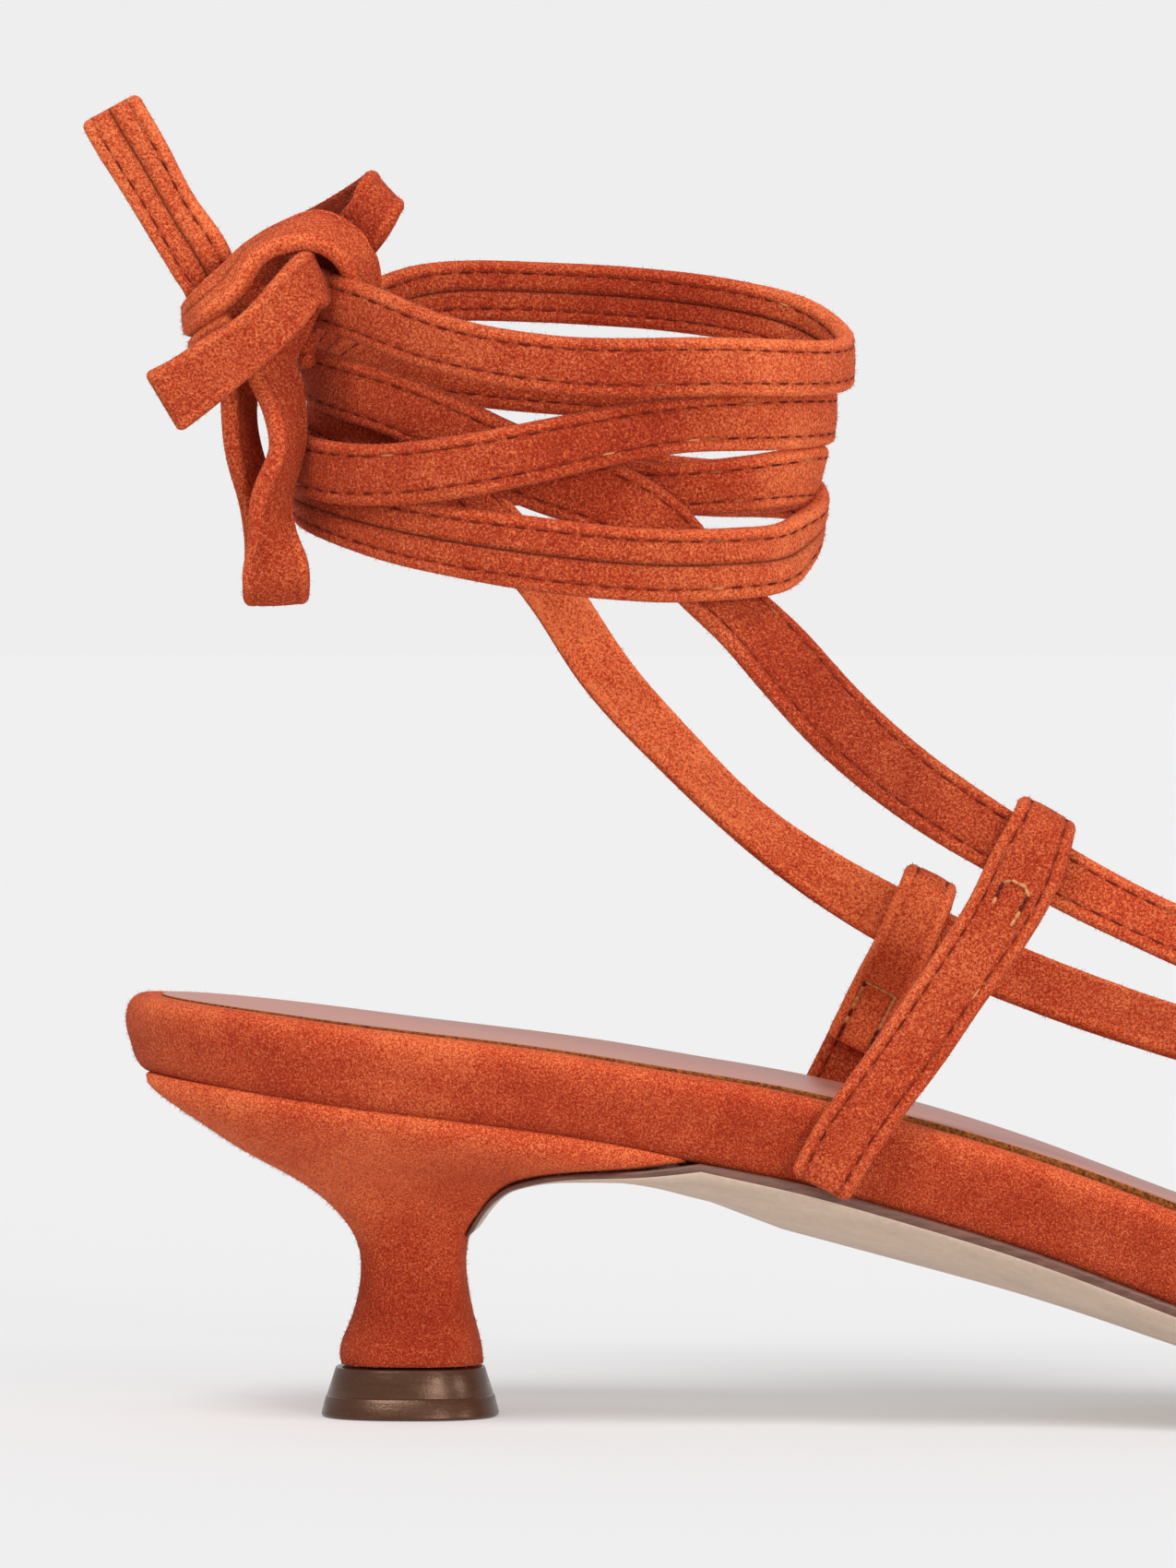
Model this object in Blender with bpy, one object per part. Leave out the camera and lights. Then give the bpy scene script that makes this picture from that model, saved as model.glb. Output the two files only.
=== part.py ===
"""Kitten heel sandal with a suede ankle tie, left shoe.

Lengths in the tables are millimetres: x runs from the back of the heel to the
toe, y is negative on the medial (inner) side, z is the height over the floor.
"""
import math

import bmesh
import bpy
import numpy as np
from mathutils import Vector

MM = 0.001
COLLECTION = "kitten_heel_sandal"

# Overall sizes
LENGTH = 245.0
ORIGIN_X = LENGTH / 2
GAP = 0.3
HEEL_CENTRE = 28.0
TOE_CENTRE = 172.0
HEEL_POWER = 2.1
TOE_POWER = 1.9
TOE_SHIFT = -5.0
SIDE_STATIONS = 40
RUNG_CUTS = 5

# Half widths of the sole plan on either side of the heel's middle line
WIDTH_COLUMNS = ("x", "medial", "lateral")
WIDTH_ROWS = (
    (28.0, 25.0, 25.0),
    (50.0, 23.8, 25.0),
    (70.0, 21.6, 25.0),
    (90.0, 20.8, 25.8),
    (110.0, 23.0, 28.4),
    (130.0, 28.5, 32.2),
    (150.0, 34.4, 35.8),
    (172.0, 38.0, 38.0),
)

# Long profile: underside at the medial edge, footbed height, how much lower
# the lateral edge lies on top and below, and how far the waist bulges down
PROFILE_COLUMNS = ("x", "edge", "height", "top_drop", "under_drop", "belly")
PROFILE_ROWS = (
    (0.0, 39.8, 9.2, 0.0, 0.0, 0.0),
    (15.0, 37.8, 9.2, 0.0, 0.0, 0.0),
    (32.0, 35.5, 9.15, 0.0, 0.0, 0.0),
    (48.0, 33.45, 9.1, 0.0, 0.0, 0.0),
    (63.0, 30.95, 9.1, 0.0, 0.0, 0.0),
    (70.0, 29.66, 9.2, 0.0, 0.3, 0.4),
    (76.0, 28.4, 9.3, 0.1, 1.1, 1.4),
    (89.0, 24.85, 9.7, 0.4, 2.8, 3.5),
    (105.0, 19.9, 10.0, 1.2, 3.0, 3.7),
    (119.0, 14.75, 10.2, 1.8, 2.8, 3.4),
    (140.0, 7.85, 10.0, 1.4, 1.6, 1.8),
    (160.0, 3.5, 9.4, 0.6, 0.4, 0.4),
    (178.0, 2.25, 8.8, 0.0, 0.0, 0.0),
    (205.0, 2.2, 8.4, 0.0, 0.0, 0.0),
    (225.0, 3.9, 8.2, 0.0, 0.0, 0.0),
    (245.0, 7.4, 8.0, 0.0, 0.0, 0.0),
)

# Footbed wall, from the bottom edge round to the top face
WALL_COLUMNS = ("inset", "rise")
WALL_ROWS = (
    (2.0, 0.0),
    (1.25, 0.06),
    (0.75, 0.28),
    (0.2, 0.56),
    (0.0, 0.76),
    (0.35, 0.91),
    (1.1, 0.98),
    (2.2, 1.0),
)

# Insole edge: inset from the footbed outline and height over the footbed
INSOLE_INSET = 3.1
INSOLE_COLUMNS = ("inset", "over")
INSOLE_ROWS = (
    (INSOLE_INSET, 0.3),
    (INSOLE_INSET, 0.9),
    (INSOLE_INSET + 0.3, 1.1),
)

# Outsole: its tongue on the heel breast, then it follows the footbed
OUTSOLE_INSET = 0.8
OUTSOLE_JOIN = 74.0
TONGUE_COLUMNS = ("x", "z", "half_width")
TONGUE_ROWS = (
    (39.0, 20.8, 5.4),
    (40.7, 23.3, 7.2),
    (42.4, 25.2, 9.4),
    (45.4, 26.9, 12.8),
    (49.4, 27.95, 16.6),
    (54.0, 28.4, 19.4),
    (60.0, 28.75, 21.2),
    (66.0, 29.3, 21.0),
)
OUTSOLE_EDGE_COLUMNS = ("inset", "depth")
OUTSOLE_EDGE_ROWS = (
    (0.5, 0.0),
    (0.0, 0.35),
    (0.0, 1.1),
    (0.6, 1.55),
    (2.2, 2.0),
)

# Heel: each row is a slice from a point on its back to one on its breast
HEEL_SEGMENTS = 36
HEEL_WALL_INSET = 1.3
HEEL_COLUMNS = ("back_x", "back_z", "front_x", "front_z", "half_width", "power")
HEEL_ROWS = (
    (24.0, 6.0, 40.5, 6.0, 7.9, 2.5),
    (23.8, 7.0, 40.4, 7.2, 7.9, 2.5),
    (24.9, 10.4, 39.5, 11.0, 7.1, 2.5),
    (26.0, 14.0, 38.7, 14.5, 6.4, 2.5),
    (26.4, 17.6, 38.35, 17.6, 6.2, 2.5),
    (26.0, 20.4, 38.6, 20.6, 6.8, 2.6),
    (24.0, 23.7, 40.3, 23.5, 8.8, 2.7),
    (20.0, 27.1, 43.2, 26.4, 12.4, 2.8),
    (14.0, 30.5, 48.0, 28.0, 17.0, 2.9),
    (7.9, 34.1, 55.0, 28.75, 21.6, 3.0),
    (3.9, 36.9, 59.5, 29.1, 24.4, 3.2),
    (2.3, 38.6, 62.5, 29.6, 25.0, 3.4),
)

# Heel tip in two lifts
TIP_CENTRE_X = 31.9
TIP_SEGMENTS = 36
TIP_POWER = 2.4
TIP_COLUMNS = ("z", "half_length", "half_width")
TIP_ROWS = (
    (0.0, 10.3, 9.6),
    (2.5, 9.75, 9.05),
    (2.7, 9.4, 8.7),
    (5.7, 8.4, 7.9),
)

# Straps
STRAP_THICK = 2.0
STRAP_STEP = 6.0
# Corners of a strap's section as shares of its half width and half thickness
STRAP_SECTION = (
    (1.0, 0.3), (0.78, 1.0), (-0.78, 1.0), (-1.0, 0.3),
    (-1.0, -0.3), (-0.78, -1.0), (0.78, -1.0), (1.0, -0.3),
)
# Middle line of the foot that the straps lie round
FOOT_LINE = (
    (51.0, 0.0, 165.0),
    (51.0, 0.0, 84.0),
    (76.0, 0.0, 74.0),
    (104.0, 0.0, 59.0),
    (150.0, -1.0, 35.0),
    (207.0, -6.8, 8.0),
)

# Ankle wrap: turns are angles about the ankle from its back round the medial
# side, the layer is the distance outside the innermost turn
ANKLE_X = 50.9
ANKLE_HALF_LENGTH = 26.2
ANKLE_HALF_WIDTH = 17.5
STRAP_COLUMNS = ("x", "y", "z", "width", "roll")
WRAP_COLUMNS = ("turn", "layer", "z", "width", "roll")

MEDIAL_STRAP_ROWS = (
    (207.6, -7.7, 12.4, 6.4, 0.0),
    (206.6, -7.7, 16.5, 6.4, 0.0),
    (201.5, -7.8, 22.0, 6.6, 0.0),
    (188.0, -8.6, 28.4, 6.8, 0.0),
    (160.0, -10.8, 39.6, 7.0, 0.0),
    (135.0, -12.6, 48.8, 7.0, 0.0),
    (119.2, -13.4, 55.0, 7.0, 0.0),
    (110.5, -14.2, 59.3, 7.0, 0.0),
    (102.1, -15.2, 64.4, 7.0, 0.0),
    (90.3, -16.6, 71.3, 7.2, 0.0),
    (79.5, -15.8, 80.3, 7.2, 0.0),
    (72.4, -14.4, 88.8, 7.2, 0.0),
)
MEDIAL_WRAP_ROWS = (
    (124.0, 0.8, 95.0, 7.4, 0.0),
    (112.0, 2.2, 100.3, 7.4, 0.0),
    (102.0, 2.8, 103.7, 7.6, 0.0),
    (80.0, 2.7, 108.4, 7.6, 0.0),
    (63.0, 2.7, 112.8, 7.4, 0.0),
    (48.0, 2.7, 116.2, 7.2, 0.0),
    (26.0, 2.7, 119.0, 7.0, 0.0),
    (0.0, 2.7, 122.0, 6.8, 0.0),
    (-25.0, 2.8, 125.2, 6.8, 0.0),
    (-50.0, 3.2, 127.6, 6.8, 0.0),
    (-75.0, 3.6, 128.5, 6.8, 0.0),
    (-100.0, 3.8, 128.0, 6.8, 0.0),
    (-125.0, 4.0, 127.0, 6.8, 0.0),
    (-150.0, 4.0, 124.8, 6.6, 0.0),
    (-168.0, 4.0, 121.8, 6.4, 0.0),
    (-180.0, 4.0, 120.3, 6.2, 0.0),
    (-200.0, 5.0, 119.2, 6.2, 0.0),
    (-240.0, 7.2, 118.6, 6.2, 0.0),
    (-265.0, 7.2, 118.5, 6.2, 0.0),
    (-285.0, 6.6, 120.2, 6.4, 0.0),
    (-300.0, 5.6, 122.2, 6.6, 0.0),
    (-315.0, 5.0, 124.7, 6.8, 0.0),
    (-324.0, 4.8, 125.8, 6.8, 0.0),
)
LATERAL_STRAP_ROWS = (
    (207.9, -6.2, 12.4, 6.4, 0.0),
    (206.9, -6.2, 16.5, 6.4, 0.0),
    (202.5, -5.6, 20.8, 6.6, 0.0),
    (188.0, -2.0, 26.0, 6.6, 4.0),
    (160.0, 5.2, 33.4, 6.6, 8.0),
    (135.0, 11.4, 39.4, 6.6, 10.0),
    (119.2, 14.4, 43.1, 6.6, 10.0),
    (109.6, 15.8, 46.2, 6.6, 4.0),
    (100.0, 17.0, 50.0, 6.6, -8.0),
    (88.8, 18.2, 55.7, 6.6, -20.0),
    (80.0, 19.0, 60.8, 6.6, 2.0),
    (69.2, 19.4, 67.9, 6.6, 28.0),
    (60.0, 19.4, 76.2, 6.6, 32.0),
    (51.9, 18.8, 85.2, 6.6, 28.0),
    (46.5, 17.8, 93.6, 6.6, 16.0),
)
LATERAL_WRAP_ROWS = (
    (290.0, -0.4, 100.0, 6.4, 0.0),
    (304.0, -0.4, 106.0, 6.4, 0.0),
    (320.0, -0.4, 110.0, 6.2, 0.0),
    (340.0, -0.4, 112.0, 6.2, 0.0),
    (360.0, -0.4, 112.2, 6.2, 0.0),
    (385.0, -0.4, 110.8, 6.2, 0.0),
    (410.0, -0.4, 109.2, 6.2, 0.0),
    (438.0, -0.4, 107.6, 6.2, 0.0),
    (465.0, -0.4, 106.2, 6.2, 0.0),
    (488.0, -0.4, 105.5, 6.2, 0.0),
    (510.0, -0.4, 106.0, 6.2, 8.0),
    (540.0, -0.2, 107.2, 6.2, 16.0),
    (570.0, -0.8, 106.4, 6.2, 8.0),
    (600.0, 0.6, 106.2, 6.2, 0.0),
    (630.0, 2.2, 107.6, 6.2, 0.0),
    (660.0, 2.7, 107.3, 6.4, 0.0),
    (690.0, 2.7, 105.8, 6.6, 0.0),
    (720.0, 2.5, 103.8, 7.0, 0.0),
    (748.0, 3.4, 101.3, 7.4, 0.0),
    (773.0, 4.8, 99.5, 7.8, 0.0),
    (803.0, 5.8, 98.0, 8.0, 0.0),
    (832.0, 5.8, 96.9, 8.0, 0.0),
    (850.0, 5.4, 96.8, 8.0, 4.0),
    (870.0, 3.6, 97.6, 8.0, 12.0),
    (885.0, 1.2, 98.4, 8.0, 20.0),
    (900.0, -0.2, 99.6, 7.8, 20.0),
    (915.0, 3.0, 102.0, 7.0, 6.0),
    (930.0, 4.4, 104.8, 6.8, 0.0),
    (960.0, 5.2, 107.3, 6.6, 0.0),
    (990.0, 5.8, 109.0, 6.6, 0.0),
    (1020.0, 5.9, 110.0, 6.6, 0.0),
    (1050.0, 5.9, 110.5, 6.6, 0.0),
    (1080.0, 6.2, 109.8, 6.8, 0.0),
    (1109.0, 6.6, 107.7, 7.0, 0.0),
    (1129.0, 6.8, 106.9, 7.0, 0.0),
    (1144.0, 6.6, 107.4, 7.0, 0.0),
    (1168.0, 5.9, 109.8, 6.8, 0.0),
    (1192.0, 5.0, 112.3, 6.4, 0.0),
    (1209.0, 3.7, 113.1, 6.2, 0.0),
    (1233.0, 2.4, 113.6, 6.0, 0.0),
    (1260.0, 2.1, 113.9, 6.0, 3.0),
    (1290.0, 3.0, 115.0, 6.2, 0.0),
    (1320.0, 4.4, 117.0, 6.4, 0.0),
    (1350.0, 5.4, 118.4, 6.6, 0.0),
    (1380.0, 5.7, 119.6, 6.6, 0.0),
    (1410.0, 5.8, 121.0, 6.6, 0.0),
    (1426.0, 6.0, 122.0, 6.6, 0.0),
)

# Short tacks that join the turns where they cross
TACK_RADIUS = 1.2
TACK_SEGMENTS = 12
TACK_COLUMNS = ("turn", "z", "inner", "outer")
TACK_ROWS = (
    (84.0, 108.0, -0.4, 6.0),
    (125.0, 96.0, 0.8, 5.5),
    (310.0, 108.0, -0.4, 5.9),
)

# Keepers: up the outside, over the strap and down the inside to a plain end
KEEPER_THICK = 1.9
KEEPER_WIDTH = 7.2
KEEPER_STEP = 2.5
KEEPER_COLUMNS = ("x", "y", "z")
KEEPER_MEDIAL_AXIS = (0.886, 0.0, -0.464)
KEEPER_MEDIAL_ROWS = (
    (79.4, -23.4, 27.6),
    (81.6, -23.6, 31.5),
    (84.6, -23.4, 36.0),
    (90.0, -21.9, 43.4),
    (95.1, -20.3, 50.9),
    (99.9, -18.9, 58.2),
    (103.2, -18.3, 65.0),
    (104.9, -17.2, 68.4),
    (105.4, -14.6, 69.7),
    (105.0, -12.2, 68.6),
    (103.6, -11.2, 65.0),
    (101.4, -11.6, 60.8),
    (99.2, -14.2, 57.4),
    (97.8, -16.7, 55.2),
    (95.6, -17.9, 52.0),
    (93.2, -18.7, 48.4),
)
KEEPER_LATERAL_AXIS = (0.905, 0.0, -0.425)
KEEPER_LATERAL_ROWS = (
    (73.6, 26.8, 25.4),
    (75.4, 27.0, 29.5),
    (77.6, 26.8, 34.0),
    (81.2, 24.8, 41.0),
    (84.8, 22.9, 48.0),
    (88.0, 22.2, 54.0),
    (90.2, 21.5, 59.0),
    (91.3, 20.3, 61.7),
    (91.6, 17.8, 62.8),
    (91.1, 15.4, 61.4),
    (89.8, 14.6, 58.0),
    (87.6, 14.9, 53.4),
    (85.8, 17.6, 50.2),
    (84.4, 20.4, 47.6),
    (82.4, 21.6, 43.6),
    (81.2, 22.2, 41.2),
)

# Bow: the free pieces of the tie; each keeps its width along one direction
BOW_THICK = 2.0
BOW_STEP = 2.6
BOW_COLUMNS = ("x", "y", "z", "width", "roll")
BOW_END_UPPER_AXIS = (0.854, 0.0, 0.52)
BOW_END_UPPER_ROWS = (
    (7.2, -9.0, 134.6, 6.4, 0.0),
    (4.6, -9.4, 138.8, 6.6, 0.0),
    (2.0, -9.8, 143.2, 6.6, 0.0),
    (-0.6, -10.2, 147.6, 6.8, 0.0),
)
BOW_END_LOWER_AXIS = (0.7, 0.0, -0.714)
BOW_END_LOWER_ROWS = (
    (19.2, -18.4, 128.6, 6.2, 0.0),
    (15.2, -19.0, 124.6, 6.4, 0.0),
    (10.6, -19.4, 120.2, 6.8, 0.0),
    (5.6, -19.6, 115.3, 7.0, 0.0),
)
BOW_LOOP_UPPER_AXIS = (0.62, 0.0, -0.785)
BOW_LOOP_UPPER_ROWS = (
    (24.8, -10.0, 134.6, 5.6, 0.0),
    (27.4, -10.2, 136.8, 5.8, 0.0),
    (29.8, -9.4, 138.8, 6.0, 0.0),
    (30.9, -7.4, 139.8, 6.0, 0.0),
    (29.8, -5.4, 139.2, 6.0, 0.0),
    (27.0, -4.6, 137.4, 5.8, 0.0),
    (23.6, -4.6, 135.6, 5.6, 0.0),
)
BOW_LOOP_LOWER_AXIS = (1.0, 0.0, 0.0)
BOW_LOOP_LOWER_ROWS = (
    (17.0, -15.6, 119.0, 5.4, 0.0),
    (18.2, -15.8, 114.6, 5.4, 0.0),
    (18.7, -15.9, 109.8, 4.8, 0.0),
    (17.0, -15.9, 103.8, 5.6, 0.0),
    (17.2, -15.7, 97.6, 6.8, 0.0),
    (17.4, -14.6, 94.6, 7.2, 0.0),
    (17.3, -12.6, 93.4, 7.2, 0.0),
    (17.0, -10.6, 94.6, 7.0, 0.0),
    (16.6, -9.6, 98.0, 6.6, 0.0),
    (15.0, -9.6, 103.0, 5.6, 0.0),
    (13.0, -10.2, 109.0, 5.0, 0.0),
    (12.6, -10.8, 114.0, 4.8, 0.0),
    (13.6, -11.2, 118.0, 4.8, 0.0),
)
KNOT_CENTRE = (16.2, -10.6, 128.0)
KNOT_HALF = (8.2, 5.8, 6.6)
KNOT_TURN = math.radians(-32)
KNOT_SEGMENTS = 20
KNOT_RINGS = 12

# Colours
SUEDE_ORANGE = (0.55, 0.11, 0.03, 1.0)
SOCK_ROSE = (0.36, 0.16, 0.14, 1.0)
SOLE_BEIGE = (0.58, 0.43, 0.32, 1.0)
TIP_BROWN = (0.15, 0.075, 0.045, 1.0)


def column(rows, names, name):
    """Values of one named column of a table."""
    return [row[names.index(name)] for row in rows]


def spline(xs, ys):
    """Natural cubic through the given points, as a function of x."""
    xs = np.array(xs, float)
    ys = np.array(ys, float)
    n = len(xs)
    h = np.diff(xs)
    system = np.eye(n)
    right = np.zeros(n)
    for i in range(1, n - 1):
        system[i, i - 1:i + 2] = (h[i - 1], 2 * (h[i - 1] + h[i]), h[i])
        right[i] = 6 * ((ys[i + 1] - ys[i]) / h[i] - (ys[i] - ys[i - 1]) / h[i - 1])
    bend = np.linalg.solve(system, right)

    def value(x):
        i = int(np.clip(np.searchsorted(xs, x) - 1, 0, n - 2))
        a = (xs[i + 1] - x) / h[i]
        b = 1 - a
        curve = (a ** 3 - a) * bend[i] + (b ** 3 - b) * bend[i + 1]
        return float(a * ys[i] + b * ys[i + 1] + curve * h[i] ** 2 / 6)

    return value


def table_spline(rows, names, key):
    """One column of a table as a smooth function of its first column."""
    return spline(column(rows, names, names[0]), column(rows, names, key))


EDGE = table_spline(PROFILE_ROWS, PROFILE_COLUMNS, "edge")
HEIGHT = table_spline(PROFILE_ROWS, PROFILE_COLUMNS, "height")
TOP_DROP = table_spline(PROFILE_ROWS, PROFILE_COLUMNS, "top_drop")
UNDER_DROP = table_spline(PROFILE_ROWS, PROFILE_COLUMNS, "under_drop")
BELLY = table_spline(PROFILE_ROWS, PROFILE_COLUMNS, "belly")
MEDIAL = table_spline(WIDTH_ROWS, WIDTH_COLUMNS, "medial")
LATERAL = table_spline(WIDTH_ROWS, WIDTH_COLUMNS, "lateral")


def half_width(x, side):
    """Half width of the sole plan at x, with a round heel and toe."""
    x = min(max(x, 0.0), LENGTH)
    widths = MEDIAL if side < 0 else LATERAL
    if x < HEEL_CENTRE:
        share = (HEEL_CENTRE - x) / HEEL_CENTRE
        return widths(HEEL_CENTRE) * (1 - share ** HEEL_POWER) ** (1 / HEEL_POWER)
    if x > TOE_CENTRE:
        share = (x - TOE_CENTRE) / (LENGTH - TOE_CENTRE)
        return widths(TOE_CENTRE) * max(0.0, 1 - share ** TOE_POWER) ** (1 / TOE_POWER)
    return widths(x)


def middle(x):
    """Sideways shift of the plan, toward the big toe at the front."""
    share = min(max((x - TOE_CENTRE) / (LENGTH - TOE_CENTRE), 0.0), 1.0)
    return TOE_SHIFT * share * share


def across(x, y):
    """Where y lies across the sole: 0 at the medial edge, 1 at the lateral."""
    low = middle(x) - half_width(x, -1)
    high = middle(x) + half_width(x, 1)
    return min(max((y - low) / max(high - low, 0.01), 0.0), 1.0)


def sag(x, y):
    """How far the underside lies below its medial edge."""
    v = across(x, y)
    return max(UNDER_DROP(x), 0.0) * v + max(BELLY(x), 0.0) * 4 * v * (1 - v)


def underside(x, y):
    """Height of the footbed's bottom face."""
    return EDGE(x) - sag(x, y)


def topside(x, y):
    """Height of the footbed's top face."""
    return EDGE(x) + HEIGHT(x) - max(TOP_DROP(x), 0.0) * across(x, y)


def inset_loop(points, inset):
    """A closed plan line moved inward by a distance."""
    moved = []
    count = len(points)
    for i, (x, y) in enumerate(points):
        before = points[i - 1]
        after = points[(i + 1) % count]
        tangent = Vector((after[0] - before[0], after[1] - before[1])).normalized()
        moved.append((x - tangent.y * inset, y + tangent.x * inset))
    return moved


def stations():
    """Places along the sole, closer together at the round ends."""
    return [ORIGIN_X * (1 - math.cos(math.pi * i / SIDE_STATIONS)) for i in range(SIDE_STATIONS + 1)]


def plan_loop():
    """Sole plan as a closed line: medial side to the toe, lateral side back."""
    xs = stations()
    medial = [(x, middle(x) - half_width(x, -1)) for x in xs]
    lateral = [(x, middle(x) + half_width(x, 1)) for x in xs[1:-1]]
    return medial + lateral[::-1]


def place(point):
    """Table millimetres to metres about the middle of the sole."""
    return Vector(((point[0] - ORIGIN_X) * MM, point[1] * MM, point[2] * MM))


def mesh_object(name, mesh_data, material, collection):
    """A finished piece from a bmesh."""
    bmesh.ops.recalc_face_normals(mesh_data, faces=mesh_data.faces)
    data = bpy.data.meshes.new(name)
    mesh_data.to_mesh(data)
    mesh_data.free()
    data.materials.append(material)
    piece = bpy.data.objects.new(name, data)
    collection.objects.link(piece)
    return piece


def first_ring(mesh_data, points):
    """A closed ring of edges through the given points."""
    made = bmesh.ops.create_circle(mesh_data, segments=len(points), radius=1.0)
    ring = list(made["verts"])
    for vert, point in zip(ring, points):
        vert.co = place(point)
    return ring


def ring_edges(ring):
    """Edges that run round a ring of vertices."""
    inside = set(ring)
    found = {edge for vert in ring for edge in vert.link_edges}
    return [edge for edge in found if edge.verts[0] in inside and edge.verts[1] in inside]


def next_ring(mesh_data, ring, points):
    """The ring carried on to the next section."""
    made = bmesh.ops.extrude_edge_only(mesh_data, edges=ring_edges(ring))
    new = {item for item in made["geom"] if isinstance(item, bmesh.types.BMVert)}
    follow = []
    for vert in ring:
        follow.append(next(e.other_vert(vert) for e in vert.link_edges if e.other_vert(vert) in new))
    for vert, point in zip(follow, points):
        vert.co = place(point)
    return follow


def rungs(mesh_data, ring, pairs):
    """Close a long ring with a ladder of faces; returns the rungs."""
    for (a, b), (c, d) in zip(pairs, pairs[1:]):
        corners = []
        for index in (a, c, d, b):
            if ring[index] not in corners:
                corners.append(ring[index])
        mesh_data.faces.new(corners)
    steps = [(ring[a], ring[b]) for a, b in pairs if a != b]
    return [edge for a, b in steps for edge in a.link_edges if edge.other_vert(a) is b]


def bow_rungs(mesh_data, edges, cuts, lower):
    """Divide the rungs and let the new points down by a function of x and y."""
    made = bmesh.ops.subdivide_edges(mesh_data, edges=edges, cuts=cuts, use_grid_fill=True)
    for item in set(made["geom_inner"]):
        if isinstance(item, bmesh.types.BMVert):
            lower(item)


def loop_pairs(count):
    """Facing points of a ring that starts at one end: (i, its partner)."""
    half = count // 2
    return [(i, (count - i) % count) for i in range(half + 1)]


def build_footbed(material, collection):
    """The platform: stacked plan lines, a flat top and a bellied underside."""
    base = plan_loop()
    bm = bmesh.new()
    ring = None
    rings = []
    for inset, rise in WALL_ROWS:
        points = []
        for x, y in inset_loop(base, inset):
            low = underside(x, y)
            points.append((x, y, low + rise * (topside(x, y) - low)))
        ring = first_ring(bm, points) if ring is None else next_ring(bm, ring, points)
        rings.append(ring)
    pairs = loop_pairs(len(base))
    rungs(bm, rings[-1], pairs)
    lower_edges = rungs(bm, rings[0], pairs)

    def lower(vert):
        x = vert.co.x / MM + ORIGIN_X
        vert.co.z = underside(x, vert.co.y / MM) * MM

    bow_rungs(bm, lower_edges, RUNG_CUTS, lower)
    return mesh_object("footbed", bm, material, collection)


def build_insole(material, collection):
    """The thin sock on the footbed."""
    base = plan_loop()
    bm = bmesh.new()
    ring = None
    rings = []
    for inset, over in INSOLE_ROWS:
        points = [(x, y, topside(x, y) + over) for x, y in inset_loop(base, inset)]
        ring = first_ring(bm, points) if ring is None else next_ring(bm, ring, points)
        rings.append(ring)
    pairs = loop_pairs(len(base))
    rungs(bm, rings[0], pairs)
    rungs(bm, rings[-1], pairs)
    return mesh_object("insole", bm, material, collection)


def outsole_line():
    """Side view of the outsole's upper face, tongue to toe: x, z, both half widths."""
    rows = [(x, z, -w, w) for x, z, w in TONGUE_ROWS]
    shrink = (LENGTH - OUTSOLE_INSET) / LENGTH
    for along in stations():
        x = along * shrink
        if x < OUTSOLE_JOIN:
            continue
        low = middle(along) - max(half_width(along, -1) - OUTSOLE_INSET, 0.0)
        high = middle(along) + max(half_width(along, 1) - OUTSOLE_INSET, 0.0)
        rows.append((x, EDGE(x) - GAP, low, high))
    return rows


def build_outsole(material, collection):
    """The leather sole: cut flat, then laid along its side view."""
    line = outsole_line()
    xs = [row[0] for row in line]
    zs = [row[1] for row in line]
    steps = np.hypot(np.diff(xs), np.diff(zs))
    lengths = np.concatenate(([0.0], np.cumsum(steps)))
    curve_x = spline(lengths, xs)
    curve_z = spline(lengths, zs)

    def laid(s, y, depth):
        x = curve_x(s)
        z = curve_z(s)
        run = Vector((curve_x(s + 0.2) - curve_x(s - 0.2), curve_z(s + 0.2) - curve_z(s - 0.2)))
        run.normalize()
        px = x + run.y * depth
        pz = z - run.x * depth - (sag(x, y) if x > 50.0 else 0.0)
        return (px, y, max(pz, 0.0))

    medial = [(s, row[2]) for s, row in zip(lengths, line)]
    lateral = [(s, row[3]) for s, row in zip(lengths[:-1], line[:-1])]
    base = medial + lateral[::-1]
    bm = bmesh.new()
    ring = None
    rings = []
    for inset, depth in OUTSOLE_EDGE_ROWS:
        points = [laid(s, y, depth) for s, y in inset_loop(base, inset)]
        ring = first_ring(bm, points) if ring is None else next_ring(bm, ring, points)
        rings.append(ring)
    count = len(base)
    pairs = [(i, count - 1 - i) for i in range(len(line))]
    depth = OUTSOLE_EDGE_ROWS[-1][1]
    edges = rungs(bm, rings[0], pairs) + rungs(bm, rings[-1], pairs)

    def lower(vert):
        x = vert.co.x / MM + ORIGIN_X
        y = vert.co.y / MM
        if x < OUTSOLE_JOIN - 2:
            return
        straight = EDGE(x) - GAP - max(UNDER_DROP(x), 0.0) * across(x, y)
        stretch = math.hypot(1.0, (EDGE(x + 0.2) - EDGE(x - 0.2)) / 0.4)
        below = 0.0 if straight - vert.co.z / MM < depth / 2 else depth * stretch
        vert.co.z = max(underside(x, y) - GAP - below, 0.0) * MM

    bow_rungs(bm, edges, RUNG_CUTS, lower)
    return mesh_object("outsole", bm, material, collection)


def rounded(angle, power):
    """A point on a squared circle."""
    c = math.cos(angle)
    s = math.sin(angle)
    return (
        math.copysign(abs(c) ** (2 / power), c),
        math.copysign(abs(s) ** (2 / power), s),
    )


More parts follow.
